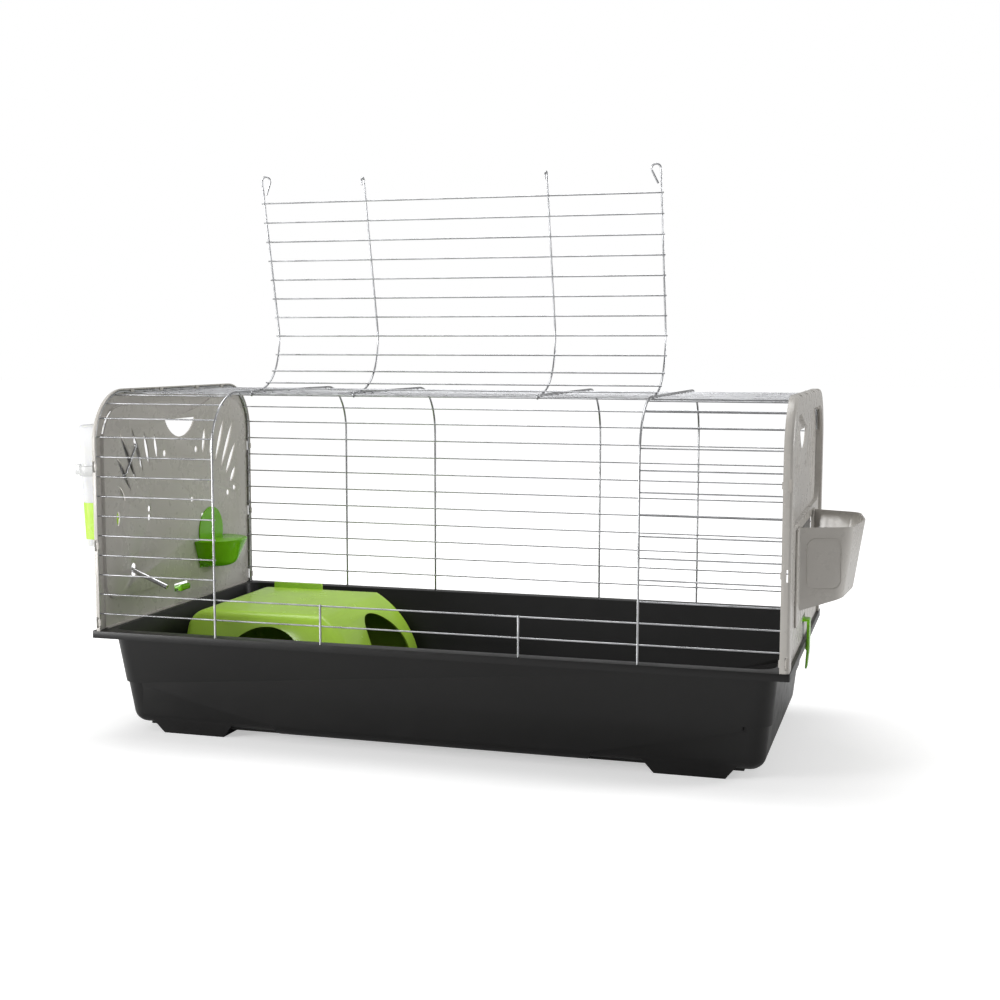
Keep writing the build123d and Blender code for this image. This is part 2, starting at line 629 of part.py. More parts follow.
def make_panel(face_x, border_x, field_bottom, cuts, top_pitch):
    """A thin moulded end panel: recessed field, raised border, snap tabs, vents and hand-hold."""
    shell = slab(arch(0, TUB_HEIGHT), PANEL_INNER_X, border_x)
    rim_edges = [edge for edge in shell.edges().group_by(Axis.X)[-1] if edge.center().Z > TUB_HEIGHT + 1]
    shell = fillet(rim_edges, BORDER_EDGE)
    shell = shell - slab(arch(BORDER, TUB_HEIGHT), face_x, border_x)
    shell = shell - slab(field(field_bottom, 0), FIELD_OUTER_X, face_x)
    # the border is open below, where the end wires stand on the rim
    ring = arch(PANEL_SIDE_WALL, TUB_HEIGHT - 1) - arch(BORDER - PANEL_WALL, TUB_HEIGHT - 1)
    shell = shell - slab(ring, PANEL_INNER_X, border_x - PANEL_WALL)
    middle = arch(BORDER - PANEL_WALL, TUB_HEIGHT + PANEL_WALL) - field(field_bottom, PANEL_WALL)
    shell = shell - slab(middle, PANEL_INNER_X, face_x - PANEL_WALL)
    holes = [hand_hold()]
    slots = [((sign * top[0], top[1]), (sign * low[0], low[1])) for sign in (-1, 1) for top, low in VENTS]
    for top, low in slots + BACK_VENTS + FRONT_VENTS:
        if low[1] - VENT_WIDTH > field_bottom:
            holes.append(lens(top, low, VENT_WIDTH))
    holes.append(Pos(0, CLIP_HOLE_Z) * Rectangle(*CLIP_HOLE))
    for hole in holes + cuts:
        shell = shell - slab(hole, PANEL_INNER_X - 1, border_x + 1)
    tabs, windows = panel_tabs(top_pitch, border_x)
    for window in windows:
        shell = shell - window
    for tab in tabs:
        shell = shell + tab
    return shell


def spout_axis_point(x):
    """Point of the spout's axis at a given X."""
    return x, BOTTLE_Y, SPOUT_TIP_Z + (SPOUT_TIP_X - x) * tan(radians(SPOUT_SLOPE_DEG))


def make_panels(top_pitch):
    """Left panel with the holes for spout and bowl; right panel with the hay opening."""
    hay_sheet = RectangleRounded(2 * HAY_HALF_WIDTH, HAY_HIGH - HAY_LOW, HAY_CORNER)
    hay = Pos(0, (HAY_LOW + HAY_HIGH) / 2) * hay_sheet
    right = make_panel(RIGHT_FACE_X, RIGHT_BORDER_X, HAY_HIGH + HAY_FRAME, [hay], top_pitch)
    save("right_end_panel", right)
    spout_z = spout_axis_point(-FIELD_OUTER_X)[2]
    # the left panel is drawn mirrored, so Y places stay as they are
    cuts = [Pos(BOTTLE_Y, spout_z) * Rot(0, 0, 90) * SlotOverall(SPOUT_HOLE[1], SPOUT_HOLE[0])]
    slot_z = BOWL_SLOT_LOW + BOWL_SLOT_HEIGHT / 2
    for sign in (-1, 1):
        slot_y = BOWL_Y + sign * BOWL_PEG_Y
        cuts.append(Pos(slot_y, slot_z) * Rectangle(BOWL_PEG_WIDTH + 2 * BOWL_SLOT_SPARE, BOWL_SLOT_HEIGHT))
    left = make_panel(LEFT_FACE_X, LEFT_BORDER_X, FIELD_BOTTOM_Z, cuts, top_pitch)
    save("left_end_panel", mirror_x(left))


# Hay rack and grille

def rack_outline(half, reach, tip, corner):
    """Plan of the rack from the border face: leaning sides and a bowed front."""
    side = (reach, half * RACK_SIDE_SHARE)
    sheet = make_face(Polyline((0, -half), (side[0], -side[1]), (tip, 0), (side[0], side[1]), (0, half),
                               close=True))
    corners = [v for v in sheet.vertices() if abs(abs(v.Y) - side[1]) < 0.01]
    sheet = fillet(corners, corner)
    tips = [v for v in sheet.vertices() if abs(v.Y) < 0.01]
    return fillet(tips, RACK_TIP_ROUND * corner)


def make_rack():
    """Basket with a back flange and two hooks over the sill of the hay opening, and the fixed grille."""
    back_x = RIGHT_FACE_X + RACK_GAP
    reach = RACK_REACH - RACK_GAP
    thin = RACK_WALL
    low_half = RACK_HALF_WIDTH - RACK_FOOT_IN
    low_side = reach - RACK_FOOT_BACK
    low_tip = reach - RACK_FOOT_TIP_BACK
    top_out = rack_outline(RACK_HALF_WIDTH, reach - RACK_BOW, reach, RACK_CORNER)
    top_in = rack_outline(RACK_HALF_WIDTH - thin, reach - RACK_BOW - thin, reach - thin, RACK_CORNER - thin)
    low_out = rack_outline(low_half, low_side, low_tip, RACK_FOOT_CORNER)
    low_in = rack_outline(low_half - thin, low_side - thin, low_tip - thin, RACK_FOOT_CORNER - thin)
    outer = loft([Plane.XY.offset(RACK_BOTTOM) * low_out, Plane.XY.offset(RACK_TOP) * top_out], ruled=True)
    inner = loft([Plane.XY.offset(RACK_BOTTOM) * low_in, Plane.XY.offset(RACK_TOP) * top_in], ruled=True)
    slope = RACK_RISE / reach

    def below(lift):
        """Everything under the sloping bottom."""
        low = RACK_BOTTOM - RACK_RISE
        outline = Polyline((-1, low), (2 * reach, low), (2 * reach, RACK_BOTTOM + lift + 2 * reach * slope),
                           (-1, RACK_BOTTOM + lift - slope), close=True)
        return extrude(Plane.XZ * make_face(outline), amount=2 * RACK_HALF_WIDTH, both=True)

    basket = (outer - below(0)) - (inner - below(thin))
    basket = Pos(back_x, 0, 0) * basket
    flange_z = (RACK_TOP + RACK_FLANGE_BOTTOM) / 2
    flange = Pos(0, flange_z) * RectangleRounded(2 * RACK_FLANGE_HALF, RACK_TOP - RACK_FLANGE_BOTTOM,
                                                 RACK_FLANGE_CORNER)
    mouth_low = RACK_BOTTOM + thin
    mouth = Pos(0, (RACK_TOP + mouth_low) / 2 + thin) * Rectangle(2 * (low_half - 2 * thin),
                                                                 RACK_TOP - mouth_low + thin)
    plate = slab(flange, back_x, back_x + RACK_FLANGE) - slab(mouth, back_x - 1, back_x + RACK_FLANGE + 1)
    clip_room = Pos(0, RACK_FLANGE_BOTTOM) * Rectangle(*RACK_CLIP_ROOM)
    plate = plate - slab(clip_room, back_x - 1, back_x + RACK_FLANGE + 1)
    rack = plate + basket
    leg_out = RACK_SIDE_INNER_X - RACK_GAP
    leg_in = leg_out - RACK_HOOK_WALL
    for sign in (-1, 1):
        y0 = sign * RACK_HOOK_Y - RACK_HOOK_WIDTH / 2
        y1 = sign * RACK_HOOK_Y + RACK_HOOK_WIDTH / 2
        shelf_z = HAY_LOW + RACK_GAP
        rack = rack + block(leg_in, back_x + RACK_FLANGE, y0, y1, shelf_z, mouth_low)
        rack = rack + block(leg_in, leg_out, y0, y1, shelf_z - RACK_HOOK_DROP, mouth_low)
    save("hay_rack", rack)

    bars = []
    x = RACK_SIDE_INNER_X - GRILLE_R - WELD_GAP
    low = HAY_LOW - GRILLE_OVERLAP
    high = HAY_HIGH + GRILLE_OVERLAP
    for step in range(GRILLE_BARS):
        y = (step - (GRILLE_BARS - 1) / 2) * GRILLE_PITCH
        bars.append(Pos(x, y, (low + high) / 2) * Cylinder(GRILLE_R, high - low))
    rail_x = x - 2 * GRILLE_R - WELD_GAP
    half = GRILLE_PITCH * (GRILLE_BARS - 1) / 2 + GRILLE_RAIL_OVER
    for z in (low + GRILLE_RAIL_IN, high - GRILLE_RAIL_IN):
        bars.append(Pos(rail_x, 0, z) * Rot(90, 0, 0) * Cylinder(GRILLE_R, 2 * half))
    save("hay_grille", together(bars))


# Food bowl

def bowl_outline(half, reach, corner):
    """Plan of the bowl from the panel: straight sides and a blunt point."""
    shoulder = reach * BOWL_SHOULDER_SHARE
    back = half * BOWL_BACK_SHARE
    sheet = make_face(Polyline((0, -back), (shoulder, -half), (reach, 0), (shoulder, half), (0, back),
                               close=True))
    sides = [v for v in sheet.vertices() if abs(abs(v.Y) - half) < 0.01]
    sheet = fillet(sides, corner)
    tips = [v for v in sheet.vertices() if abs(v.Y) < 0.01]
    return fillet(tips, corner / 3)


def make_bowl():
    """Bowl with a tall back plate and two pegs that hang in slots of the panel."""
    face_x = -PANEL_INNER_X + FITTING_GAP
    low_z = BOWL_RIM_Z - BOWL_DEPTH
    foot_half = BOWL_HALF_WIDTH * BOWL_FOOT_WIDTH_SHARE
    foot_reach = BOWL_REACH * BOWL_FOOT_REACH_SHARE
    outer = loft([Plane.XY.offset(low_z) * bowl_outline(foot_half, foot_reach, BOWL_FOOT_CORNER),
                  Plane.XY.offset(BOWL_RIM_Z) * bowl_outline(BOWL_HALF_WIDTH, BOWL_REACH, BOWL_CORNER)],
                 ruled=True)
    thin = BOWL_WALL
    rim_in = thin - BOWL_RIM_FLARE
    foot_in = bowl_outline(foot_half - thin, foot_reach - thin, BOWL_FOOT_CORNER - thin)
    rim = bowl_outline(BOWL_HALF_WIDTH - rim_in, BOWL_REACH - rim_in, BOWL_CORNER - rim_in)
    inner = loft([Plane.XY.offset(low_z + thin) * foot_in, Plane.XY.offset(BOWL_RIM_Z + thin) * rim],
                 ruled=True)
    inner = inner & block(BOWL_PLATE, 2 * BOWL_REACH, -BOWL_HALF_WIDTH, BOWL_HALF_WIDTH, 0, 2 * BOWL_RIM_Z)
    half = BOWL_PLATE_HALF
    waist = BOWL_RIM_Z
    edges = [Line((-half, low_z), (half, low_z)), Line((half, low_z), (half, waist)),
             ThreePointArc((half, waist), (0, BOWL_PLATE_TOP), (-half, waist)),
             Line((-half, waist), (-half, low_z))]
    plate = slab(make_face(Wire(edges)), 0, BOWL_PLATE)
    bowl = (outer + plate) - inner
    leg_x = -(FIELD_OUTER_X - PANEL_INNER_X) - 2 * FITTING_GAP
    peg_low = BOWL_SLOT_LOW + FITTING_GAP
    peg_high = peg_low + BOWL_PEG_HEIGHT
    for sign in (-1, 1):
        y0 = sign * BOWL_PEG_Y - BOWL_PEG_WIDTH / 2
        y1 = sign * BOWL_PEG_Y + BOWL_PEG_WIDTH / 2
        bowl = bowl + block(leg_x - BOWL_PEG_WALL, BOWL_PLATE, y0, y1, peg_low, peg_high)
        bowl = bowl + block(leg_x - BOWL_PEG_WALL, leg_x, y0, y1, peg_low - BOWL_PEG_HOOK, peg_high)
    save("food_bowl", Pos(face_x, BOWL_Y, 0) * bowl)


# Shelter

SHELTER_FOOT_Z = FLOOR_Z + FITTING_GAP


def shelter_profile(inset, foot_z):
    """Front view of the shelter: square left side, roof, and a large curve down to the right wall."""
    roof = SHELTER_FOOT_Z + SHELTER_HEIGHT - inset
    left = SHELTER_LEFT + inset
    right = SHELTER_RIGHT - inset
    radius = SHELTER_LEFT_R - inset
    curve_end = (right - SHELTER_RIGHT_LEAN, SHELTER_FOOT_Z + SHELTER_CURVE_Z)
    # the curve's middle moves along its slope when the wall's inside is drawn
    curve_mid = ((SHELTER_ROOF_RIGHT + curve_end[0]) / 2 + SHELTER_LEFT_R / 4 - inset / 4,
                 roof - SHELTER_CURVE_DROP)
    edges = [Line((left, foot_z), (right, foot_z)),
             Line((right, foot_z), curve_end),
             ThreePointArc(curve_end, curve_mid, (SHELTER_ROOF_RIGHT, roof)),
             Line((SHELTER_ROOF_RIGHT, roof), (left + radius, roof)),
             ThreePointArc((left + radius, roof),
                           (left + radius * (1 - sqrt(0.5)), roof - radius * (1 - sqrt(0.5))),
                           (left, roof - radius)),
             Line((left, roof - radius), (left, foot_z))]
    return make_face(Wire(edges))


def shelter_body(inset, foot_z):
    """The shelter as a solid, drawn in by inset."""
    front = SHELTER_FRONT + inset
    back = SHELTER_BACK - inset
    body = extrude(Plane.XZ.offset(-back) * shelter_profile(inset, foot_z), amount=back - front)
    foot_edges = body.edges().group_by(Axis.Z)[0]
    back_edges = [edge for edge in body.faces().sort_by(Axis.Y)[-1].edges() if edge not in foot_edges]
    body = fillet(back_edges, SHELTER_BACK_EDGE - inset)
    lean_z = SHELTER_FOOT_Z + SHELTER_LEAN_Z
    high_z = SHELTER_FOOT_Z + 2 * SHELTER_HEIGHT
    lean_y = SHELTER_LEAN * (high_z - lean_z) / (SHELTER_HEIGHT - SHELTER_LEAN_Z)
    wedge = make_face(Polyline((front, lean_z), (front - lean_y, lean_z), (front - lean_y, high_z),
                               (front + lean_y, high_z), close=True))
    body = body - slab(wedge, SHELTER_LEFT - SHELTER_WALL, SHELTER_RIGHT + SHELTER_WALL)
    lean_face = [face for face in body.faces() if abs(face.normal_at().X) < 0.01
                 and 0.1 < face.normal_at().Z < 0.99 and face.normal_at().Y < 0 and face.center().Y < 0]
    front_edges = [edge for edge in lean_face[0].edges() if edge.center().Z > lean_z + 1]
    body = fillet(front_edges, SHELTER_FRONT_EDGE - inset)
    corner = SHELTER_CORNER - inset
    right = SHELTER_RIGHT - inset
    tall = 2 * SHELTER_HEIGHT
    round_post = Pos(right - corner, front + corner, foot_z) * Cylinder(corner, 3 * tall)
    outside = block(right - corner, right + 1, front - 1, front + corner, foot_z - 1, foot_z + tall)
    return body - (outside - round_post)


def front_arch():
    """Solid for cutting the flat-topped doorway in front."""
    low = SHELTER_FOOT_Z - 1
    shoulder_z = SHELTER_FOOT_Z + FRONT_ARCH_SHOULDER_Z
    foot = FRONT_ARCH_FOOT / 2
    shoulder = FRONT_ARCH_SHOULDER / 2
    edges = [Line((-foot, low), (foot, low)), Line((foot, low), (shoulder, shoulder_z)),
             ThreePointArc((shoulder, shoulder_z), (0, SHELTER_FOOT_Z + FRONT_ARCH_HEIGHT),
                           (-shoulder, shoulder_z)),
             Line((-shoulder, shoulder_z), (-foot, low))]
    door = Plane.XZ.offset(-SHELTER_FRONT - SHELTER_CORNER) * make_face(Wire(edges))
    return Pos(FRONT_ARCH_X, 0, 0) * extrude(door, amount=2 * SHELTER_CORNER)


def side_arch():
    """Solid for cutting the round doorway at the right."""
    low = SHELTER_FOOT_Z - 1
    centre_z = SHELTER_FOOT_Z + SIDE_ARCH_HEIGHT - SIDE_ARCH_R
    door = Pos(SIDE_ARCH_Y, centre_z) * Circle(SIDE_ARCH_R)
    door = door + Pos(SIDE_ARCH_Y, (centre_z + low) / 2) * Rectangle(2 * SIDE_ARCH_R, centre_z - low)
    return slab(door, SHELTER_ROOF_RIGHT, SHELTER_RIGHT + 1)


def make_shelter():
    """Open-bottomed house on the tub's floor, with a doorway in front and one at the right."""
    house = shelter_body(0, SHELTER_FOOT_Z) - shelter_body(SHELTER_WALL, SHELTER_FOOT_Z - 1)
    house = house - front_arch() - side_arch()
    tab_x, tab_y, tab_z = SHELTER_TAB
    top = SHELTER_FOOT_Z + SHELTER_HEIGHT + SHELTER_TAB_OVER
    tab_back = SHELTER_BACK - SHELTER_WALL / 2
    tab = block(SHELTER_TAB_X - tab_x / 2, SHELTER_TAB_X + tab_x / 2, tab_back, tab_back + tab_y,
                top - 2 * tab_z, top)
    save("shelter", house + tab)


# Drinking bottle


def bottle_block(grow, z0, z1):
    """The bottle's tapered body between two heights, grown by a margin."""
    faces = []
    rise = BOTTLE_TOP - BOTTLE_BOTTOM
    for z in (z0, z1):
        share = (z - BOTTLE_BOTTOM) / rise
        size = [low + (high - low) * share + 2 * grow
                for low, high in zip(BOTTLE_BOTTOM_SIZE, BOTTLE_TOP_SIZE)]
        faces.append(Pos(BOTTLE_X, BOTTLE_Y, z) * RectangleRounded(size[0], size[1], BOTTLE_CORNER + grow))
    return loft(faces, ruled=True)


def along_spout(x, shape):
    """Places a shape drawn along Z on the spout's axis, its Z pointing down the spout."""
    slope = radians(SPOUT_SLOPE_DEG)
    frame = Plane(origin=spout_axis_point(x), x_dir=(0, 1, 0), z_dir=(cos(slope), 0, -sin(slope)))
    return frame * shape


def make_bottle():
    """Bottle with its neck, screw cap and seal."""
    body = bottle_block(0, BOTTLE_BOTTOM, BOTTLE_TOP)
    body = fillet(body.edges().group_by(Axis.Z)[-1], BOTTLE_EDGE)
    neck_low = BOTTLE_BOTTOM - NECK_LENGTH
    neck = Cylinder(NECK_R, NECK_LENGTH + 2 * BOTTLE_WALL)
    body = body + Pos(BOTTLE_X, BOTTLE_Y, (neck_low + BOTTLE_BOTTOM) / 2 + BOTTLE_WALL) * neck
    hollow = bottle_block(-BOTTLE_WALL, BOTTLE_BOTTOM + BOTTLE_WALL, BOTTLE_TOP - BOTTLE_WALL)
    hollow = fillet(hollow.edges().group_by(Axis.Z)[-1], BOTTLE_EDGE - BOTTLE_WALL)
    bore = Pos(BOTTLE_X, BOTTLE_Y, BOTTLE_BOTTOM) * Cylinder(NECK_R - BOTTLE_WALL, 4 * NECK_LENGTH)
    neck_box = block(BOTTLE_X - NECK_R, BOTTLE_X + NECK_R, BOTTLE_Y - NECK_R, BOTTLE_Y + NECK_R,
                     neck_low - 1, BOTTLE_BOTTOM + 2 * BOTTLE_WALL)
    bore = bore & neck_box
    save("bottle_body", body - hollow - bore)

    cap_top = BOTTLE_BOTTOM - CAP_TOP_GAP
    cap_low = cap_top - CAP_HEIGHT
    seat_z = neck_low - SEAL_THICKNESS
    cap = Pos(BOTTLE_X, BOTTLE_Y, (cap_top + cap_low) / 2) * Cylinder(CAP_R, CAP_HEIGHT)
    cap = fillet(cap.edges().group_by(Axis.Z)[0], CAP_EDGE)
    boss_x = BOTTLE_X + CAP_R - BOSS_INSET
    boss = Pos(0, 0, BOSS_LENGTH / 2) * Cylinder(SPOUT_R + CAP_WALL, BOSS_LENGTH)
    cap = cap + along_spout(boss_x, boss)
    throat_bore = Cylinder(NECK_R + CAP_THREAD_GAP, cap_top - seat_z)
    throat = Pos(BOTTLE_X, BOTTLE_Y, (cap_top + seat_z) / 2) * throat_bore
    well_low = cap_low + CAP_BOTTOM
    well = Pos(BOTTLE_X, BOTTLE_Y, (well_low + seat_z) / 2) * Cylinder(NECK_R - SEAL_RIM, seat_z - well_low)
    spout_hole = Pos(0, 0, BOSS_LENGTH) * Cylinder(SPOUT_R + SPOUT_SEAT, 2 * BOSS_LENGTH)
    save("bottle_cap", cap - throat - well - along_spout(boss_x - SPOUT_SET_IN, spout_hole))
    ring = Cylinder(NECK_R, SEAL_THICKNESS) - Cylinder(NECK_R - SEAL_RIM, SEAL_THICKNESS)
    save("bottle_seal", Pos(BOTTLE_X, BOTTLE_Y, (neck_low + seat_z) / 2) * ring)


def make_spout():
    """Drinking tube with a mouth narrower than its bore, and the ball that closes it."""
    start_x = BOTTLE_X + CAP_R - BOSS_INSET
    length = (SPOUT_TIP_X - start_x) / cos(radians(SPOUT_SLOPE_DEG))
    tube = Pos(0, 0, length / 2) * Cylinder(SPOUT_R, length)
    tube = fillet(tube.edges().group_by(Axis.Z)[-1], SPOUT_LIP)
    tube = tube - Pos(0, 0, (length - SPOUT_LIP) / 2) * Cylinder(SPOUT_BORE, length - SPOUT_LIP)
    tube = tube - Pos(0, 0, length / 2) * Cylinder(SPOUT_MOUTH_R, length + 2)
    save("spout_tube", along_spout(start_x, tube))
    # the ball sits where its sphere meets the edge of the mouth
    ball_back = SPOUT_LIP + sqrt(BALL_R ** 2 - SPOUT_MOUTH_R ** 2) + BALL_SEAT
    save("spout_ball", along_spout(start_x, Pos(0, 0, length - ball_back) * Sphere(BALL_R)))


def make_holder():
    """Band round the bottle with a back plate and a grip, and the wire that hooks it to the panel."""
    low = HOLDER_Z - HOLDER_HEIGHT / 2
    high = HOLDER_Z + HOLDER_HEIGHT / 2
    room = bottle_block(HOLDER_GAP, low - 1, HOLDER_PLATE_TOP + 1)
    inner_x = -LEFT_FACE_X - FITTING_GAP
    half = BOTTLE_TOP_SIZE[1] / 2
    plate = block(inner_x - HOLDER_PLATE, inner_x, BOTTLE_Y - half, BOTTLE_Y + half, low, HOLDER_PLATE_TOP)
    outer_x = BOTTLE_X - BOTTLE_TOP_SIZE[0] / 2 - HOLDER_GAP
    reach, width = HOLDER_LUG
    lug = block(outer_x - reach, outer_x + HOLDER_WALL, BOTTLE_Y - width / 2, BOTTLE_Y + width / 2, low, high)
    band = bottle_block(HOLDER_GAP + HOLDER_WALL, low, high)
    clear = block(inner_x, 0, BOTTLE_Y - 2 * half, BOTTLE_Y + 2 * half, low - 1, high + 1)
    save("bottle_holder", band + plate + lug - room - clear)

    out_x = inner_x + WELD_GAP + HANGER_R
    in_x = -PANEL_INNER_X + FITTING_GAP + HANGER_R
    run = [(out_x, HANGER_TOP[0], HOLDER_Z), (out_x, *HANGER_TOP), (in_x, *HANGER_TOP),
           (in_x, *HANGER_LOW), (out_x, *HANGER_LOW), (out_x, HANGER_LOW[0], high)]
    save("holder_wire", swept_wire(FilletPolyline(*run, radius=2 * HANGER_R), HANGER_R))


def make_clips():
    """Clips: a bead and lip behind the panel's slot, a strand outside and a catch under the rim's skirt."""
    bead_x = PANEL_INNER_X + CLIP_BEAD_X
    lip_x = bead_x - CLIP_LIP / 2
    arm_low = CLIP_BEAD_Z - CLIP_ARM / 2
    arm_high = CLIP_BEAD_Z + CLIP_ARM / 2
    strand_in = TUB_LENGTH / 2 + CLIP_RIM_GAP
    strand_out = strand_in + CLIP_STRAND
    catch_z = TUB_HEIGHT - RIM_SKIRT_DROP - CLIP_CATCH_GAP
    slope_z = catch_z - CLIP_CATCH_SLOPE
    tail_x = strand_in - CLIP_TAIL_IN
    outline = Polyline((lip_x, arm_high), (lip_x, CLIP_BEAD_Z - CLIP_LIP_DROP),
                       (lip_x + CLIP_LIP, CLIP_BEAD_Z - CLIP_LIP_DROP), (lip_x + CLIP_LIP, arm_low),
                       (strand_in, arm_low), (strand_in, catch_z), (strand_in - CLIP_CATCH, catch_z),
                       (strand_in, slope_z), (tail_x, CLIP_TAIL_Z), (tail_x + CLIP_TAIL_WALL, CLIP_TAIL_Z),
                       (strand_out, slope_z), (strand_out, arm_high), close=True)
    sheet = make_face(outline)
    top_corner = [v for v in sheet.vertices() if abs(v.X - strand_out) < 0.01 and v.Y > TUB_HEIGHT]
    sheet = fillet(top_corner, CLIP_ARM - WELD_GAP)
    bead = Pos(bead_x, CLIP_BEAD_Z) * Circle(CLIP_BEAD_R)
    head_x = bead_x + CLIP_HEAD_OUT - CLIP_HEAD[0] / 2
    head = Pos(head_x, CLIP_BEAD_Z) * RectangleRounded(*CLIP_HEAD, CLIP_HEAD_CORNER)
    clip = extrude(Plane.XZ * (sheet + bead + head), amount=CLIP_WIDTH / 2, both=True)
    save("right_clip", clip)
    save("left_clip", mirror_x(clip))


os.makedirs(PARTS, exist_ok=True)
top_bar_pitch = make_frame()
make_door()
make_tub()
make_panels(top_bar_pitch)
make_rack()
make_bowl()
make_shelter()
make_bottle()
make_spout()
make_holder()
make_clips()
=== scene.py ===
"""Dresses the rabbit cage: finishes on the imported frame, modelled shells, camera, floor and light."""
from __future__ import annotations

import json
import logging
from dataclasses import dataclass, field
from enum import Enum
from math import cos, radians, sin
from typing import Any, Callable

import bmesh
import bpy
from mathutils import Matrix, Vector

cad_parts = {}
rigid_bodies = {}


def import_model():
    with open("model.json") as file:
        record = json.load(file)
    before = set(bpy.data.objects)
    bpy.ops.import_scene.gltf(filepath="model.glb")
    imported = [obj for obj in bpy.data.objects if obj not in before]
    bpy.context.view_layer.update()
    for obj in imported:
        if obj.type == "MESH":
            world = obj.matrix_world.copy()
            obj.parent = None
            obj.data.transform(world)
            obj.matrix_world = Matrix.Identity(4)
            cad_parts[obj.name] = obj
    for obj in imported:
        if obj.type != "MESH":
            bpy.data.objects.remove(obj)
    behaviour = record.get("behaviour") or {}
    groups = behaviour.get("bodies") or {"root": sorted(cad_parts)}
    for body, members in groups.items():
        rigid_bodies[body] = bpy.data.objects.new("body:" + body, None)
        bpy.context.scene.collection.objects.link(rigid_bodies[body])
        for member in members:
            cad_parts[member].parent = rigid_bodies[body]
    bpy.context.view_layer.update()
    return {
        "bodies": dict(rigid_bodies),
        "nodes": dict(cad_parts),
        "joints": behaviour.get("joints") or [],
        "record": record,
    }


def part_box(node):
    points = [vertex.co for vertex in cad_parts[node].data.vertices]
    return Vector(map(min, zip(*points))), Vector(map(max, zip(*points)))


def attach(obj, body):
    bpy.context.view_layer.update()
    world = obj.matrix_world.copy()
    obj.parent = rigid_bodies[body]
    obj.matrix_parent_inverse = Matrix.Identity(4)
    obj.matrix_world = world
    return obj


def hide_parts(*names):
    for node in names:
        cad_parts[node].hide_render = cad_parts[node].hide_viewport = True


LOG = logging.getLogger("rabbit_cage")
MERGE_DISTANCE = 0.00001
Colour = tuple[float, float, float]
Point = tuple[float, float, float]
FaceTest = Callable[[Vector, Vector], bool]


class Body(str, Enum):
    """The moving bodies of the cage."""

    CAGE = "cage"
    DOOR = "door"
    LEFT_CLIP = "left_clip"
    RIGHT_CLIP = "right_clip"
    HAY_RACK = "hay_rack"
    FOOD_BOWL = "food_bowl"
    SHELTER = "shelter"
    BOTTLE = "bottle"
    BALL = "ball"


class Signal:
    """A shader socket that takes part in Python expressions."""

    def __init__(self, shader: Shader, socket: bpy.types.NodeSocket) -> None:
        """Wraps a socket of a shader's node."""
        self.shader = shader
        self.socket = socket

    def maths(self, operation: str, other: Signal | float) -> Signal:
        """Adds a Math node.

        Args:
            operation: The Math node's operation.
            other: The second operand.

        Returns:
            The node's result.
        """
        node = self.shader.node("ShaderNodeMath", {"operation": operation}, {0: self, 1: other})
        return Signal(self.shader, node.outputs[0])

    def __add__(self, other: Signal | float) -> Signal:
        """Sum."""
        return self.maths("ADD", other)

    def __mul__(self, other: Signal | float) -> Signal:
        """Product."""
        return self.maths("MULTIPLY", other)

    def between(self, low: float, high: float) -> Signal:
        """Maps a range to 0 to 1 with soft ends.

        Args:
            low: What becomes 0.
            high: What becomes 1.

        Returns:
            The mapped signal.
        """
        node = self.shader.node("ShaderNodeMapRange", {"interpolation_type": "SMOOTHSTEP"},
                                {"Value": self, "From Min": low, "From Max": high})
        return Signal(self.shader, node.outputs["Result"])


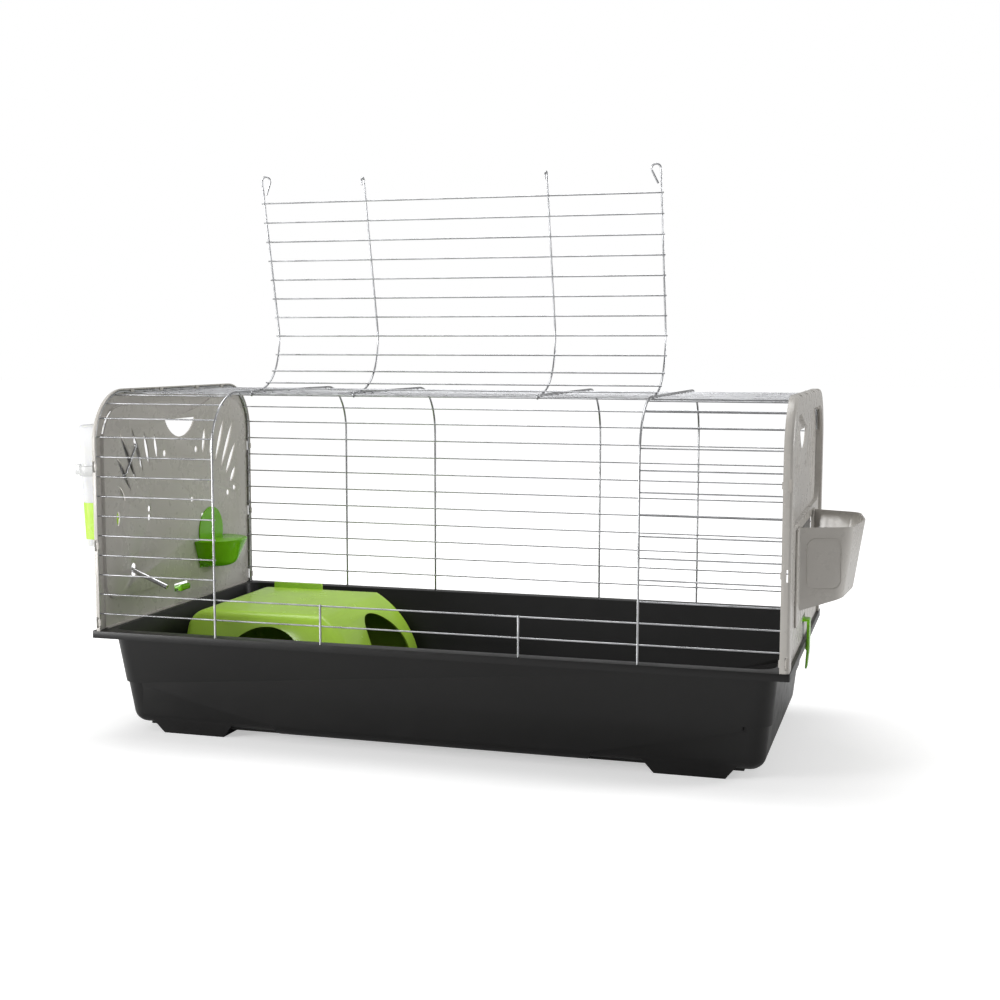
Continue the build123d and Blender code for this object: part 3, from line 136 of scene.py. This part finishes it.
class Shader:
    """The node tree of a material or of the world, written as code."""

    def __init__(self, owner: bpy.types.Material | bpy.types.World) -> None:
        """Starts an empty node tree.

        Args:
            owner: The material or world that it belongs to.
        """
        owner.use_nodes = True
        self.owner = owner
        self.tree = owner.node_tree
        self.tree.nodes.clear()

    @classmethod
    def on_material(cls, name: str) -> Shader:
        """Starts a material.

        Args:
            name: The material's name.

        Returns:
            Its empty shader.
        """
        return cls(bpy.data.materials.new(name))

    def place(self) -> Signal:
        """The point on the piece, in the object's own frame."""
        return Signal(self, self.node("ShaderNodeTexCoord").outputs["Object"])

    def node(self, kind: str, settings: dict[str, Any] | None = None,
             values: dict[str | int, Any] | None = None) -> bpy.types.Node:
        """Adds a node.

        Args:
            kind: The node's type.
            settings: Properties, set first.
            values: Numbers, colours or links of its inputs, by name or index.

        Returns:
            The node.
        """
        node = self.tree.nodes.new(kind)
        for key, value in (settings or {}).items():
            setattr(node, key, value)
        for key, value in (values or {}).items():
            self.feed(node.inputs[key], value)
        return node

    def feed(self, socket: bpy.types.NodeSocket, value: Any) -> None:
        """Links a signal to a socket, or sets a number or colour on it.

        Args:
            socket: The input.
            value: What it gets.
        """
        if isinstance(value, Signal):
            self.tree.links.new(value.socket, socket)
        elif isinstance(value, tuple) and len(value) == 3 and socket.type == "RGBA":
            socket.default_value = (*value, 1.0)
        else:
            socket.default_value = value

    def noise(self, per_metre: float, detail: float = 2.0, roughness: float = 0.5,
              stretch: Point = (1.0, 1.0, 1.0)) -> Signal:
        """Noise with features of about one part in per_metre of a metre.

        Args:
            per_metre: Features in a metre.
            detail: Octaves.
            roughness: Weight of the fine octaves.
            stretch: Scale along each axis.

        Returns:
            The noise, about 0.3 to 0.7.
        """
        mapped = self.node("ShaderNodeMapping", {}, {"Vector": self.place(), "Scale": stretch})
        noise = self.node("ShaderNodeTexNoise", {}, {
            "Vector": Signal(self, mapped.outputs[0]), "Scale": per_metre, "Detail": detail,
            "Roughness": roughness})
        return Signal(self, noise.outputs[0])

    def mix(self, factor: Signal, first: Colour, second: Colour) -> Signal:
        """Blends two colours.

        Args:
            factor: 0 gives the first colour, 1 the second.
            first: The first colour.
            second: The second colour.

        Returns:
            The blended colour.
        """
        node = self.node("ShaderNodeMix", {"data_type": "RGBA"},
                         {0: factor, 6: first, 7: second})
        return Signal(self, node.outputs[2])

    def bump(self, height: Signal, depth: float) -> Signal:
        """Surface relief from a height signal.

        Args:
            height: The height.
            depth: Metres for one unit of height.

        Returns:
            The changed normal.
        """
        node = self.node("ShaderNodeBump", {}, {"Height": height, "Distance": depth, "Strength": 1.0})
        return Signal(self, node.outputs[0])

    def principled(self, values: dict[str, Any]) -> bpy.types.Material:
        """Closes the material with a Principled shader.

        Args:
            values: Inputs of the shader.

        Returns:
            The material.
        """
        surface = self.node("ShaderNodeBsdfPrincipled", {}, values)
        self.node("ShaderNodeOutputMaterial", {}, {"Surface": Signal(self, surface.outputs[0])})
        return self.owner


def shade(colour: Colour, factor: float) -> Colour:
    """Makes a colour lighter or darker.

    Args:
        colour: The colour.
        factor: What each part is multiplied by.

    Returns:
        The new colour, at most 1 in each part.
    """
    return tuple(min(1.0, part * factor) for part in colour)


@dataclass(frozen=True)
class MouldedPlastic:
    """Injection-moulded plastic: even colour, satin skin with fine grain and slow waves.

    Args:
        name: Material name.
        colour: Linear base colour.
        gloss: Roughness of the skin.
        grain: Depth of the fine grain in metres.
        wave: Depth of the slow waves in metres.
        clouds: How much the colour varies over the piece.
        through: How much light passes under the skin.
        scuffs: How much handling marks roughen the skin.
        grains_per_metre: Fineness of the grain.
        waves_per_metre: Fineness of the slow waves.
        clouds_per_metre: Fineness of the colour's clouds.
        scuffs_per_metre: Fineness of the handling marks.
        refraction: Refractive index of the plastic.
        depth: How far red, green and blue light pass under the skin, in metres.
        depth_scale: Share of that depth.
    """

    name: str
    colour: Colour
    gloss: float = 0.35
    grain: float = 0.000003
    wave: float = 0.00008
    clouds: float = 0.04
    through: float = 0.0
    scuffs: float = 0.1
    grains_per_metre: float = 900.0
    waves_per_metre: float = 11.0
    clouds_per_metre: float = 9.0
    scuffs_per_metre: float = 40.0
    refraction: float = 1.46
    depth: Point = (0.012, 0.012, 0.008)
    depth_scale: float = 0.4

    def relief(self, shader: Shader) -> Signal:
        """Height of the skin: fine grain on slow waves.

        Args:
            shader: The material's shader.

        Returns:
            The height in metres.
        """
        grain = shader.noise(self.grains_per_metre, 1.0) * self.grain
        return grain + shader.noise(self.waves_per_metre, 1.0) * self.wave

    def material(self) -> bpy.types.Material:
        """Builds the material."""
        shader = Shader.on_material(self.name)
        clouds = shader.noise(self.clouds_per_metre, 3.0)
        smears = shader.noise(self.scuffs_per_metre, 3.0, 0.6)
        colour = shader.mix(clouds.between(0.3, 0.7), shade(self.colour, 1 - self.clouds),
                            shade(self.colour, 1 + self.clouds))
        roughness = smears.between(0.35, 0.75) * self.scuffs + (self.gloss - self.scuffs / 3)
        return shader.principled({
            "Base Color": colour, "Roughness": roughness,
            "Normal": shader.bump(self.relief(shader), 1.0),
            "IOR": self.refraction, "Subsurface Weight": self.through,
            "Subsurface Radius": self.depth, "Subsurface Scale": self.depth_scale})


@dataclass(frozen=True)
class ZincWire:
    """Zinc-plated drawn wire with faint clouds, dull spots and drawing lines along X.

    Args:
        name: Material name.
        colour: Linear colour of the metal.
        gloss: Least roughness.
        clouds_per_metre: Fineness of the clouds.
        spots_per_metre: Fineness of the dull spots.
        lines_per_metre: Fineness of the drawing lines.
        line_depth: Depth of the drawing lines in metres.
        line_stretch: Scale of the lines along each axis.
        dark: Shade of the clouds' dark parts.
        light: Shade of the clouds' light parts.
        dull: Shade of the spots.
        haze: How much the clouds roughen the metal.
    """

    name: str = "zinc wire"
    colour: Colour = (0.54, 0.545, 0.56)
    gloss: float = 0.25
    clouds_per_metre: float = 35.0
    spots_per_metre: float = 260.0
    lines_per_metre: float = 1200.0
    line_depth: float = 0.000004
    line_stretch: Point = (0.03, 1.0, 1.0)
    dark: float = 0.85
    light: float = 1.12
    dull: float = 0.6
    haze: float = 0.14

    def material(self) -> bpy.types.Material:
        """Builds the material."""
        shader = Shader.on_material(self.name)
        clouds = shader.noise(self.clouds_per_metre, 3.0)
        spots = shader.noise(self.spots_per_metre, 2.0)
        lines = shader.noise(self.lines_per_metre, 2.0, 0.5, self.line_stretch)
        bright = shader.mix(clouds.between(0.35, 0.7), shade(self.colour, self.dark),
                            shade(self.colour, self.light))
        colour = shader.mix(spots.between(0.66, 0.78), bright, shade(self.colour, self.dull))
        roughness = clouds.between(0.3, 0.75) * self.haze + self.gloss
        return shader.principled({
            "Base Color": colour, "Metallic": 1.0, "Roughness": roughness,
            "Normal": shader.bump(lines, self.line_depth)})


@dataclass(frozen=True)
class Camera:
    """The photograph's view point, solved from the straight edges of the rim and the wires.

    Args:
        lens: Focal length in millimetres.
        sensor: Width of the sensor in millimetres.
        azimuth: Turn to the right of the cage's front in degrees.
        pitch: Downward tip in degrees.
        roll: Turn round the line of sight in degrees.
        place: The view point.
    """

    lens: float = 53.164
    sensor: float = 36.0
    azimuth: float = 16.455
    pitch: float = 5.855
    roll: float = 0.085
    place: Point = (0.667596, -2.109818, 0.565967)

    def build(self) -> None:
        """Makes the camera and gives it to the scene."""
        turn, tip, roll = radians(self.azimuth), radians(self.pitch), radians(self.roll)
        back = Vector((sin(turn) * cos(tip), -cos(turn) * cos(tip), sin(tip)))
        right = Vector((cos(turn), sin(turn), 0.0))
        up = back.cross(right)
        level_right = right * cos(roll) + up * sin(roll)
        level_up = up * cos(roll) - right * sin(roll)
        data = bpy.data.cameras.new("photograph")
        data.lens = self.lens
        data.sensor_width = self.sensor
        camera = bpy.data.objects.new("photograph", data)
        columns = Matrix((level_right, level_up, back)).transposed()
        camera.matrix_world = Matrix.Translation(self.place) @ columns.to_4x4()
        bpy.context.scene.collection.objects.link(camera)
        bpy.context.scene.camera = camera


@dataclass(frozen=True)
class SoftLight:
    """A rectangular lamp aimed at a point.

    Args:
        name: The lamp's name.
        place: Its place.
        aim: The point it faces.
        size: Its width and height in metres.
        watts: Its power.
    """

    name: str
    place: Point
    aim: Point
    size: tuple[float, float]
    watts: float

    def build(self) -> None:
        """Makes the lamp."""
        data = bpy.data.lights.new(self.name, "AREA")
        data.shape = "RECTANGLE"
        data.size, data.size_y = self.size
        data.energy = self.watts
        lamp = bpy.data.objects.new(self.name, data)
        lamp.location = self.place
        lamp.rotation_euler = (Vector(self.aim) - Vector(self.place)).to_track_quat("-Z", "Y").to_euler()
        bpy.context.scene.collection.objects.link(lamp)


@dataclass
class Studio:
    """White floor, white surroundings, soft lamps and the camera.

    Args:
        camera: The camera.
        floor_size: Side of the floor in metres.
        floor_colour: Colour of the floor.
        near_lift: Light added to the seen floor next to the cage.
        far_lift: Light added to the seen floor far away.
        near_reach: Distance where the near lift ends.
        far_reach: Distance where the far lift begins.
        world_fill: Light that the surroundings give to the object.
        lights: The lamps.
    """

    camera: Camera = field(default_factory=Camera)
    floor_size: float = 40.0
    floor_colour: Colour = (0.80, 0.80, 0.80)
    near_lift: float = 0.46
    far_lift: float = 0.75
    near_reach: float = 0.6
    far_reach: float = 1.6
    world_fill: float = 0.36
    lights: tuple[SoftLight, ...] = (
        SoftLight("key", (-2.5, -1.9, 0.55), (-0.3, 0.0, 0.15), (1.3, 0.9), 72.0),
        SoftLight("top", (-0.5, 0.5, 3.0), (0.0, 0.0, 0.2), (2.2, 1.6), 46.0),
        SoftLight("side", (2.7, 0.9, 1.0), (0.5, 0.0, 0.3), (1.0, 0.9), 26.0),
    )

    def white_to_eyes(self, shader: Shader) -> Signal:
        """Tells what the camera sees directly.

        Args:
            shader: The shader that asks.

        Returns:
            1 for rays from the camera and 0 for all others.
        """
        return Signal(shader, shader.node("ShaderNodeLightPath").outputs["Is Camera Ray"])

    def floor(self) -> None:
        """The floor, lifted to white where it is seen: less near the cage, which keeps its shadow."""
        bpy.ops.object.select_all(action="DESELECT")
        bpy.ops.mesh.primitive_plane_add(size=self.floor_size)
        ground = bpy.context.active_object
        ground.name = "floor"
        shader = Shader.on_material("floor")
        reach = shader.node("ShaderNodeVectorMath", {"operation": "LENGTH"}, {0: shader.place()})
        away = Signal(shader, reach.outputs["Value"]).between(self.near_reach, self.far_reach)
        lift = self.white_to_eyes(shader) * (away * (self.far_lift - self.near_lift) + self.near_lift)
        diffuse = shader.node("ShaderNodeBsdfDiffuse", {}, {"Color": self.floor_colour})
        glow = shader.node("ShaderNodeEmission", {}, {"Color": (1.0, 1.0, 1.0), "Strength": lift})
        both = shader.node("ShaderNodeAddShader", {}, {
            0: Signal(shader, diffuse.outputs[0]), 1: Signal(shader, glow.outputs[0])})
        shader.node("ShaderNodeOutputMaterial", {}, {"Surface": Signal(shader, both.outputs[0])})
        ground.data.materials.append(shader.owner)

    def world(self) -> None:
        """White surroundings that light the object at a plain level."""
        shader = Shader(bpy.data.worlds.new("studio"))
        strength = self.white_to_eyes(shader) * (1.0 - self.world_fill) + self.world_fill
        sky = shader.node("ShaderNodeBackground", {}, {"Color": (1.0, 1.0, 1.0), "Strength": strength})
        shader.node("ShaderNodeOutputWorld", {}, {"Surface": Signal(shader, sky.outputs[0])})
        bpy.context.scene.world = shader.owner

    def build(self) -> None:
        """Makes the whole studio."""
        self.camera.build()
        self.floor()
        self.world()
        for light in self.lights:
            light.build()
        bpy.context.scene.view_settings.view_transform = "Standard"


class Finish(str, Enum):
    """The record's material slots."""

    TUB = "tub_black"
    PANEL = "panel_grey"
    WIRE = "zinc_wire"
    SHELTER = "shelter_lime"
    GREEN = "bowl_green"
    BOTTLE = "bottle_frosted"
    CAP = "bottle_cap_plastic"
    SEAL = "seal_rubber"
    SPOUT = "spout_steel"
    HOLDER = "holder_grey"


class Finishes:
    """Every material of the cage, by the record's slot."""

    def __init__(self) -> None:
        """Builds the materials."""
        self.by_slot: dict[str, bpy.types.Material] = {
            Finish.TUB: MouldedPlastic("tub black", (0.0054, 0.0051, 0.0049), 0.38, clouds=0.1,
                                       scuffs=0.08).material(),
            Finish.PANEL: MouldedPlastic("panel grey", (0.52, 0.497, 0.462), 0.28, clouds=0.015,
                                         scuffs=0.03).material(),
            Finish.SHELTER: MouldedPlastic("shelter lime", (0.47, 0.76, 0.075), 0.22,
                                           through=0.12).material(),
            Finish.GREEN: MouldedPlastic("bowl green", (0.17, 0.48, 0.006), 0.18,
                                         through=0.08).material(),
            Finish.BOTTLE: MouldedPlastic("bottle frosted", (0.66, 0.665, 0.655), 0.42,
                                          through=0.4).material(),
            Finish.CAP: MouldedPlastic("cap white", (0.8, 0.8, 0.78), 0.35).material(),
            Finish.SEAL: MouldedPlastic("seal rubber", (0.02, 0.02, 0.02), 0.7).material(),
            Finish.HOLDER: MouldedPlastic("holder grey", (0.5, 0.505, 0.5), 0.35).material(),
            Finish.WIRE: ZincWire().material(),
            Finish.SPOUT: ZincWire("spout steel", (0.55, 0.55, 0.56), 0.1).material(),
        }

    def dress(self, thing: bpy.types.Object, slot: str) -> None:
        """Gives a piece its material.

        Args:
            thing: The piece.
            slot: The slot of its material.
        """
        thing.data.materials.clear()
        thing.data.materials.append(self.by_slot[slot])


class Workpiece:
    """A new mesh piece on the bench, worked on by Blender's own tools."""

    def __init__(self, name: str, mesh: bpy.types.Mesh) -> None:
        """Puts a mesh on the bench.

        Args:
            name: The piece's name.
            mesh: Its mesh.
        """
        self.thing = bpy.data.objects.new(name, mesh)
        bpy.context.scene.collection.objects.link(self.thing)

    def take_up(self) -> None:
        """Makes this piece the only selected one."""
        bpy.ops.object.select_all(action="DESELECT")
        self.thing.select_set(True)
        bpy.context.view_layer.objects.active = self.thing

    def open_mesh(self) -> None:
        """Enters edit mode with nothing selected, in face mode."""
        self.take_up()
        bpy.ops.object.mode_set(mode="EDIT")
        bpy.ops.mesh.select_mode(type="FACE")
        bpy.ops.mesh.select_all(action="DESELECT")

    def close_mesh(self) -> None:
        """Leaves edit mode."""
        bpy.ops.object.mode_set(mode="OBJECT")

    def pick(self, test: FaceTest) -> None:
        """Selects faces.

        Args:
            test: Tells from a face's middle and normal whether it is selected.
        """
        shape = bmesh.from_edit_mesh(self.thing.data)
        for face in shape.faces:
            face.select_set(test(face.calc_center_median(), face.normal))
        bmesh.update_edit_mesh(self.thing.data)

    def merge(self, flat_deg: float = 0.6) -> None:
        """Joins loose triangles and clears the edges inside flat places.

        Args:
            flat_deg: Faces that differ by less than this are one flat place.
        """
        self.open_mesh()
        bpy.ops.mesh.select_all(action="SELECT")
        bpy.ops.mesh.remove_doubles(threshold=MERGE_DISTANCE)
        bpy.ops.mesh.customdata_custom_splitnormals_clear()
        bpy.ops.mesh.dissolve_limited(angle_limit=radians(flat_deg))
        self.close_mesh()

    def soften(self, width: float, segments: int = 2, corner_deg: float = 40.0) -> None:
        """Rounds the sharp edges.

        Args:
            width: Width of the rounding in metres.
            segments: Steps of the rounding.
            corner_deg: Edges sharper than this are rounded.
        """
        self.take_up()
        edges = self.thing.modifiers.new("edges", "BEVEL")
        edges.width = width
        edges.segments = segments
        edges.limit_method = "ANGLE"
        edges.angle_limit = radians(corner_deg)
        bpy.ops.object.modifier_apply(modifier=edges.name)

    def smooth(self, corner_deg: float = 32.0) -> None:
        """Shades the piece smooth.

        Args:
            corner_deg: Edges sharper than this stay sharp.
        """
        self.take_up()
        bpy.ops.object.shade_smooth_by_angle(angle=radians(corner_deg))


@dataclass(frozen=True)
class Moulding:
    """A moulded piece that keeps its solid's form and gains rounded edges.

    Args:
        node: The solid it stands for.
        name: The piece's name.
        body: The body it rides on.
        slot: Its finish.
        edge: Width of the rounded edges in metres.
    """

    node: str
    name: str
    body: Body
    slot: Finish
    edge: float = 0.0005

    def build(self, frame: dict[str, Any], finishes: Finishes) -> None:
        """Makes the piece.

        Args:
            frame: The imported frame.
            finishes: The materials.
        """
        piece = Workpiece(self.name, frame["nodes"][self.node].data.copy())
        piece.merge()
        piece.soften(self.edge)
        piece.smooth()
        finishes.dress(piece.thing, self.slot)
        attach(piece.thing, self.body.value)
        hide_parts(self.node)
        LOG.info("moulding %s", self.name)


@dataclass(frozen=True)
class RackOutline:
    """A raised line in the form of a rounded rectangle on one side of the hay rack.

    Args:
        side: -1 for the front side, 1 for the back side.
        near_x: Edge next to the cage.
        far_x: Outer edge.
        low_z: Lower edge.
        high_z: Upper edge.
        line: Width of the line.
        height: How far the line stands out.
        corner: Radius of the corners.
        clearance: Distance from the cage's middle where the ring starts, outside the rack.
        corner_steps: Steps of each corner.
        cuts: Cuts across each part of the ring, so that it follows the wall.
    """

    side: float
    near_x: float = 0.507
    far_x: float = 0.552
    low_z: float = 0.243
    high_z: float = 0.314
    line: float = 0.0016
    height: float = 0.0007
    corner: float = 0.012
    clearance: float = 0.135
    corner_steps: int = 6
    cuts: int = 3

    def build(self, frame: dict[str, Any], finishes: Finishes) -> None:
        """Lays a flat ring on the wall and thickens it.

        Args:
            frame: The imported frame.
            finishes: The materials.
        """
        middle = Vector(((self.near_x + self.far_x) / 2, self.side * self.clearance,
                         (self.low_z + self.high_z) / 2))
        bpy.ops.object.select_all(action="DESELECT")
        bpy.ops.mesh.primitive_plane_add(size=1.0, location=middle, rotation=(radians(90.0), 0.0, 0.0))
        ring = bpy.context.active_object
        ring.scale = (self.far_x - self.near_x, self.high_z - self.low_z, 1.0)
        bpy.ops.object.transform_apply(location=True, rotation=True, scale=True)
        piece = Workpiece("rack_outline_front" if self.side < 0 else "rack_outline_back", ring.data.copy())
        bpy.data.objects.remove(ring)
        piece.open_mesh()
        bpy.ops.mesh.select_all(action="SELECT")
        bpy.ops.mesh.bevel(offset=self.corner, segments=self.corner_steps, affect="VERTICES")
        bpy.ops.mesh.select_all(action="SELECT")
        bpy.ops.mesh.inset(thickness=self.line)
        piece.pick(lambda place, normal: (place - middle).length < self.corner)
        bpy.ops.mesh.delete(type="FACE")
        bpy.ops.mesh.select_all(action="SELECT")
        bpy.ops.mesh.subdivide(number_cuts=self.cuts)
        piece.close_mesh()
        piece.take_up()
        laid = piece.thing.modifiers.new("laid", "SHRINKWRAP")
        laid.target = frame["nodes"]["hay_rack"]
        laid.wrap_method = "PROJECT"
        laid.use_project_y = True
        laid.use_negative_direction = True
        laid.use_positive_direction = True
        laid.offset = self.height / 2
        bpy.ops.object.modifier_apply(modifier=laid.name)
        film = piece.thing.modifiers.new("film", "SOLIDIFY")
        film.thickness = self.height
        film.offset = 0.0
        bpy.ops.object.modifier_apply(modifier=film.name)
        piece.open_mesh()
        bpy.ops.mesh.select_all(action="SELECT")
        bpy.ops.mesh.normals_make_consistent(inside=False)
        piece.close_mesh()
        piece.smooth()
        finishes.dress(piece.thing, Finish.PANEL)
        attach(piece.thing, Body.HAY_RACK.value)
        LOG.info("rack outline %+d", int(self.side))


@dataclass(frozen=True)
class FeedBowl:
    """The hanging bowl: a half-round dish in front of the solid's own back plate and hooks.

    Args:
        face_x: Plane of the back wall.
        middle_y: Middle of the bowl across the cage.
        rim_z: Height of the rim.
        depth: Depth of the dish.
        reach: How far the dish stands out.
        half_width: Half of its width.
        taper: Size of the bottom against the rim.
        wall: Wall thickness.
        bottom_round: Rounding of the bottom edge.
        bottom_steps: Steps of that rounding.
        rim_points: Points of the full circle that the rim is cut from.
    """

    face_x: float = -0.4862
    middle_y: float = 0.095
    rim_z: float = 0.252
    depth: float = 0.045
    reach: float = 0.0615
    half_width: float = 0.0565
    taper: float = 0.68
    wall: float = 0.002
    bottom_round: float = 0.013
    bottom_steps: int = 5
    rim_points: int = 72

    def dish(self) -> Workpiece:
        """Draws the rim as half a disc, pulls it down into a dish and gives it a wall.

        Returns:
            The dish.
        """
        bpy.ops.object.select_all(action="DESELECT")
        bpy.ops.mesh.primitive_circle_add(vertices=self.rim_points, radius=1.0, fill_type="NGON",
                                          location=(self.face_x, self.middle_y, self.rim_z))
        disc = bpy.context.active_object
        disc.scale = (self.reach, self.half_width, 1.0)
        bpy.ops.object.transform_apply(location=True, rotation=True, scale=True)
        piece = Workpiece("food_bowl_dish", disc.data.copy())
        bpy.data.objects.remove(disc)
        centre = (self.face_x, self.middle_y, self.rim_z)
        piece.open_mesh()
        bpy.ops.mesh.select_all(action="SELECT")
        bpy.ops.mesh.bisect(plane_co=centre, plane_no=(1.0, 0.0, 0.0), clear_inner=True)
        bpy.ops.mesh.select_all(action="SELECT")
        bpy.ops.mesh.extrude_region_move(TRANSFORM_OT_translate={"value": (0.0, 0.0, -self.depth)})
        bpy.ops.transform.resize(value=(self.taper, self.taper, 1.0), center_override=centre)
        bpy.ops.mesh.region_to_loop()
        bpy.ops.mesh.bevel(offset=self.bottom_round, segments=self.bottom_steps, affect="EDGES")
        bpy.ops.mesh.select_all(action="SELECT")
        bpy.ops.mesh.normals_make_consistent(inside=False)
        piece.close_mesh()
        piece.take_up()
        wall = piece.thing.modifiers.new("wall", "SOLIDIFY")
        wall.thickness = self.wall
        wall.offset = -1.0
        bpy.ops.object.modifier_apply(modifier=wall.name)
        piece.soften(self.wall / 3)
        return piece

    def back(self, frame: dict[str, Any]) -> Workpiece:
        """Keeps the solid's back wall, plate and hooks.

        Args:
            frame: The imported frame.

        Returns:
            The back.
        """
        piece = Workpiece("food_bowl_back", frame["nodes"]["food_bowl"].data.copy())
        piece.merge()
        piece.open_mesh()
        bpy.ops.mesh.select_all(action="SELECT")
        bpy.ops.mesh.bisect(plane_co=(self.face_x + self.wall, 0.0, 0.0), plane_no=(1.0, 0.0, 0.0),
                            use_fill=True, clear_outer=True)
        piece.close_mesh()
        return piece

    def build(self, frame: dict[str, Any], finishes: Finishes) -> None:
        """Makes both pieces.

        Args:
            frame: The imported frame.
            finishes: The materials.
        """
        back = self.back(frame)
        for piece in (back, self.dish()):
            piece.smooth()
            finishes.dress(piece.thing, Finish.GREEN)
            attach(piece.thing, Body.FOOD_BOWL.value)
        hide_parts("food_bowl")
        LOG.info("feed bowl")


@dataclass(frozen=True)
class BottleLabel:
    """The plain lime band round the lower part of the bottle.

    Args:
        low_z: Lower edge.
        high_z: Upper edge.
        film: Thickness of the band.
    """

    low_z: float = 0.281
    high_z: float = 0.336
    film: float = 0.00025

    def build(self, frame: dict[str, Any], finishes: Finishes) -> None:
        """Cuts the band out of a copy of the bottle's wall and lays it on the outside.

        Args:
            frame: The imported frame.
            finishes: The materials.
        """
        piece = Workpiece("bottle_label", frame["nodes"]["bottle_body"].data.copy())
        piece.merge()
        low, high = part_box("bottle_body")
        middle = (Vector(low) + Vector(high)) / 2
        for height, keep_up in ((self.low_z, True), (self.high_z, False)):
            piece.open_mesh()
            bpy.ops.mesh.select_all(action="SELECT")
            bpy.ops.mesh.bisect(plane_co=(middle.x, middle.y, height), plane_no=(0.0, 0.0, 1.0),
                                clear_inner=keep_up, clear_outer=not keep_up)
            piece.close_mesh()
        piece.open_mesh()
        piece.pick(lambda place, normal: (place - middle).xy.dot(normal.xy) < 0)
        bpy.ops.mesh.delete(type="FACE")
        piece.close_mesh()
        piece.take_up()
        film = piece.thing.modifiers.new("film", "SOLIDIFY")
        film.thickness = self.film
        film.offset = 1.0
        bpy.ops.object.modifier_apply(modifier=film.name)
        piece.smooth()
        finishes.dress(piece.thing, Finish.SHELTER)
        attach(piece.thing, Body.BOTTLE.value)
        LOG.info("bottle label")


@dataclass(frozen=True)
class Cage:
    """The whole cage.

    Args:
        mouldings: The pieces that stand for a solid and keep its form.
    """

    mouldings: tuple[Moulding, ...] = (
        Moulding("base_tub", "tub_moulding", Body.CAGE, Finish.TUB, 0.0007),
        Moulding("left_end_panel", "left_panel_moulding", Body.CAGE, Finish.PANEL),
        Moulding("right_end_panel", "right_panel_moulding", Body.CAGE, Finish.PANEL),
        Moulding("hay_rack", "hay_rack_moulding", Body.HAY_RACK, Finish.PANEL, 0.0008),
        Moulding("shelter", "shelter_moulding", Body.SHELTER, Finish.SHELTER, 0.0008),
        Moulding("left_clip", "left_clip_moulding", Body.LEFT_CLIP, Finish.GREEN),
        Moulding("right_clip", "right_clip_moulding", Body.RIGHT_CLIP, Finish.GREEN),
        Moulding("bottle_body", "bottle_moulding", Body.BOTTLE, Finish.BOTTLE),
        Moulding("bottle_cap", "bottle_cap_moulding", Body.BOTTLE, Finish.CAP),
        Moulding("bottle_holder", "bottle_holder_moulding", Body.BOTTLE, Finish.HOLDER),
    )

    def build(self, frame: dict[str, Any], finishes: Finishes) -> None:
        """Dresses the solids that stay and makes the pieces that replace the others.

        Args:
            frame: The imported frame.
            finishes: The materials.
        """
        for part in frame["record"]["subparts"]:
            finishes.dress(frame["nodes"][part["node"]], part["material_slot"])
        for moulding in self.mouldings:
            moulding.build(frame, finishes)
        FeedBowl().build(frame, finishes)
        BottleLabel().build(frame, finishes)
        for side in (-1.0, 1.0):
            RackOutline(side).build(frame, finishes)


def main() -> None:
    """Builds the scene."""
    logging.basicConfig(level=logging.INFO, format="%(message)s")
    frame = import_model()
    Cage().build(frame, Finishes())
    Studio().build()


if __name__ == "__main__":
    main()
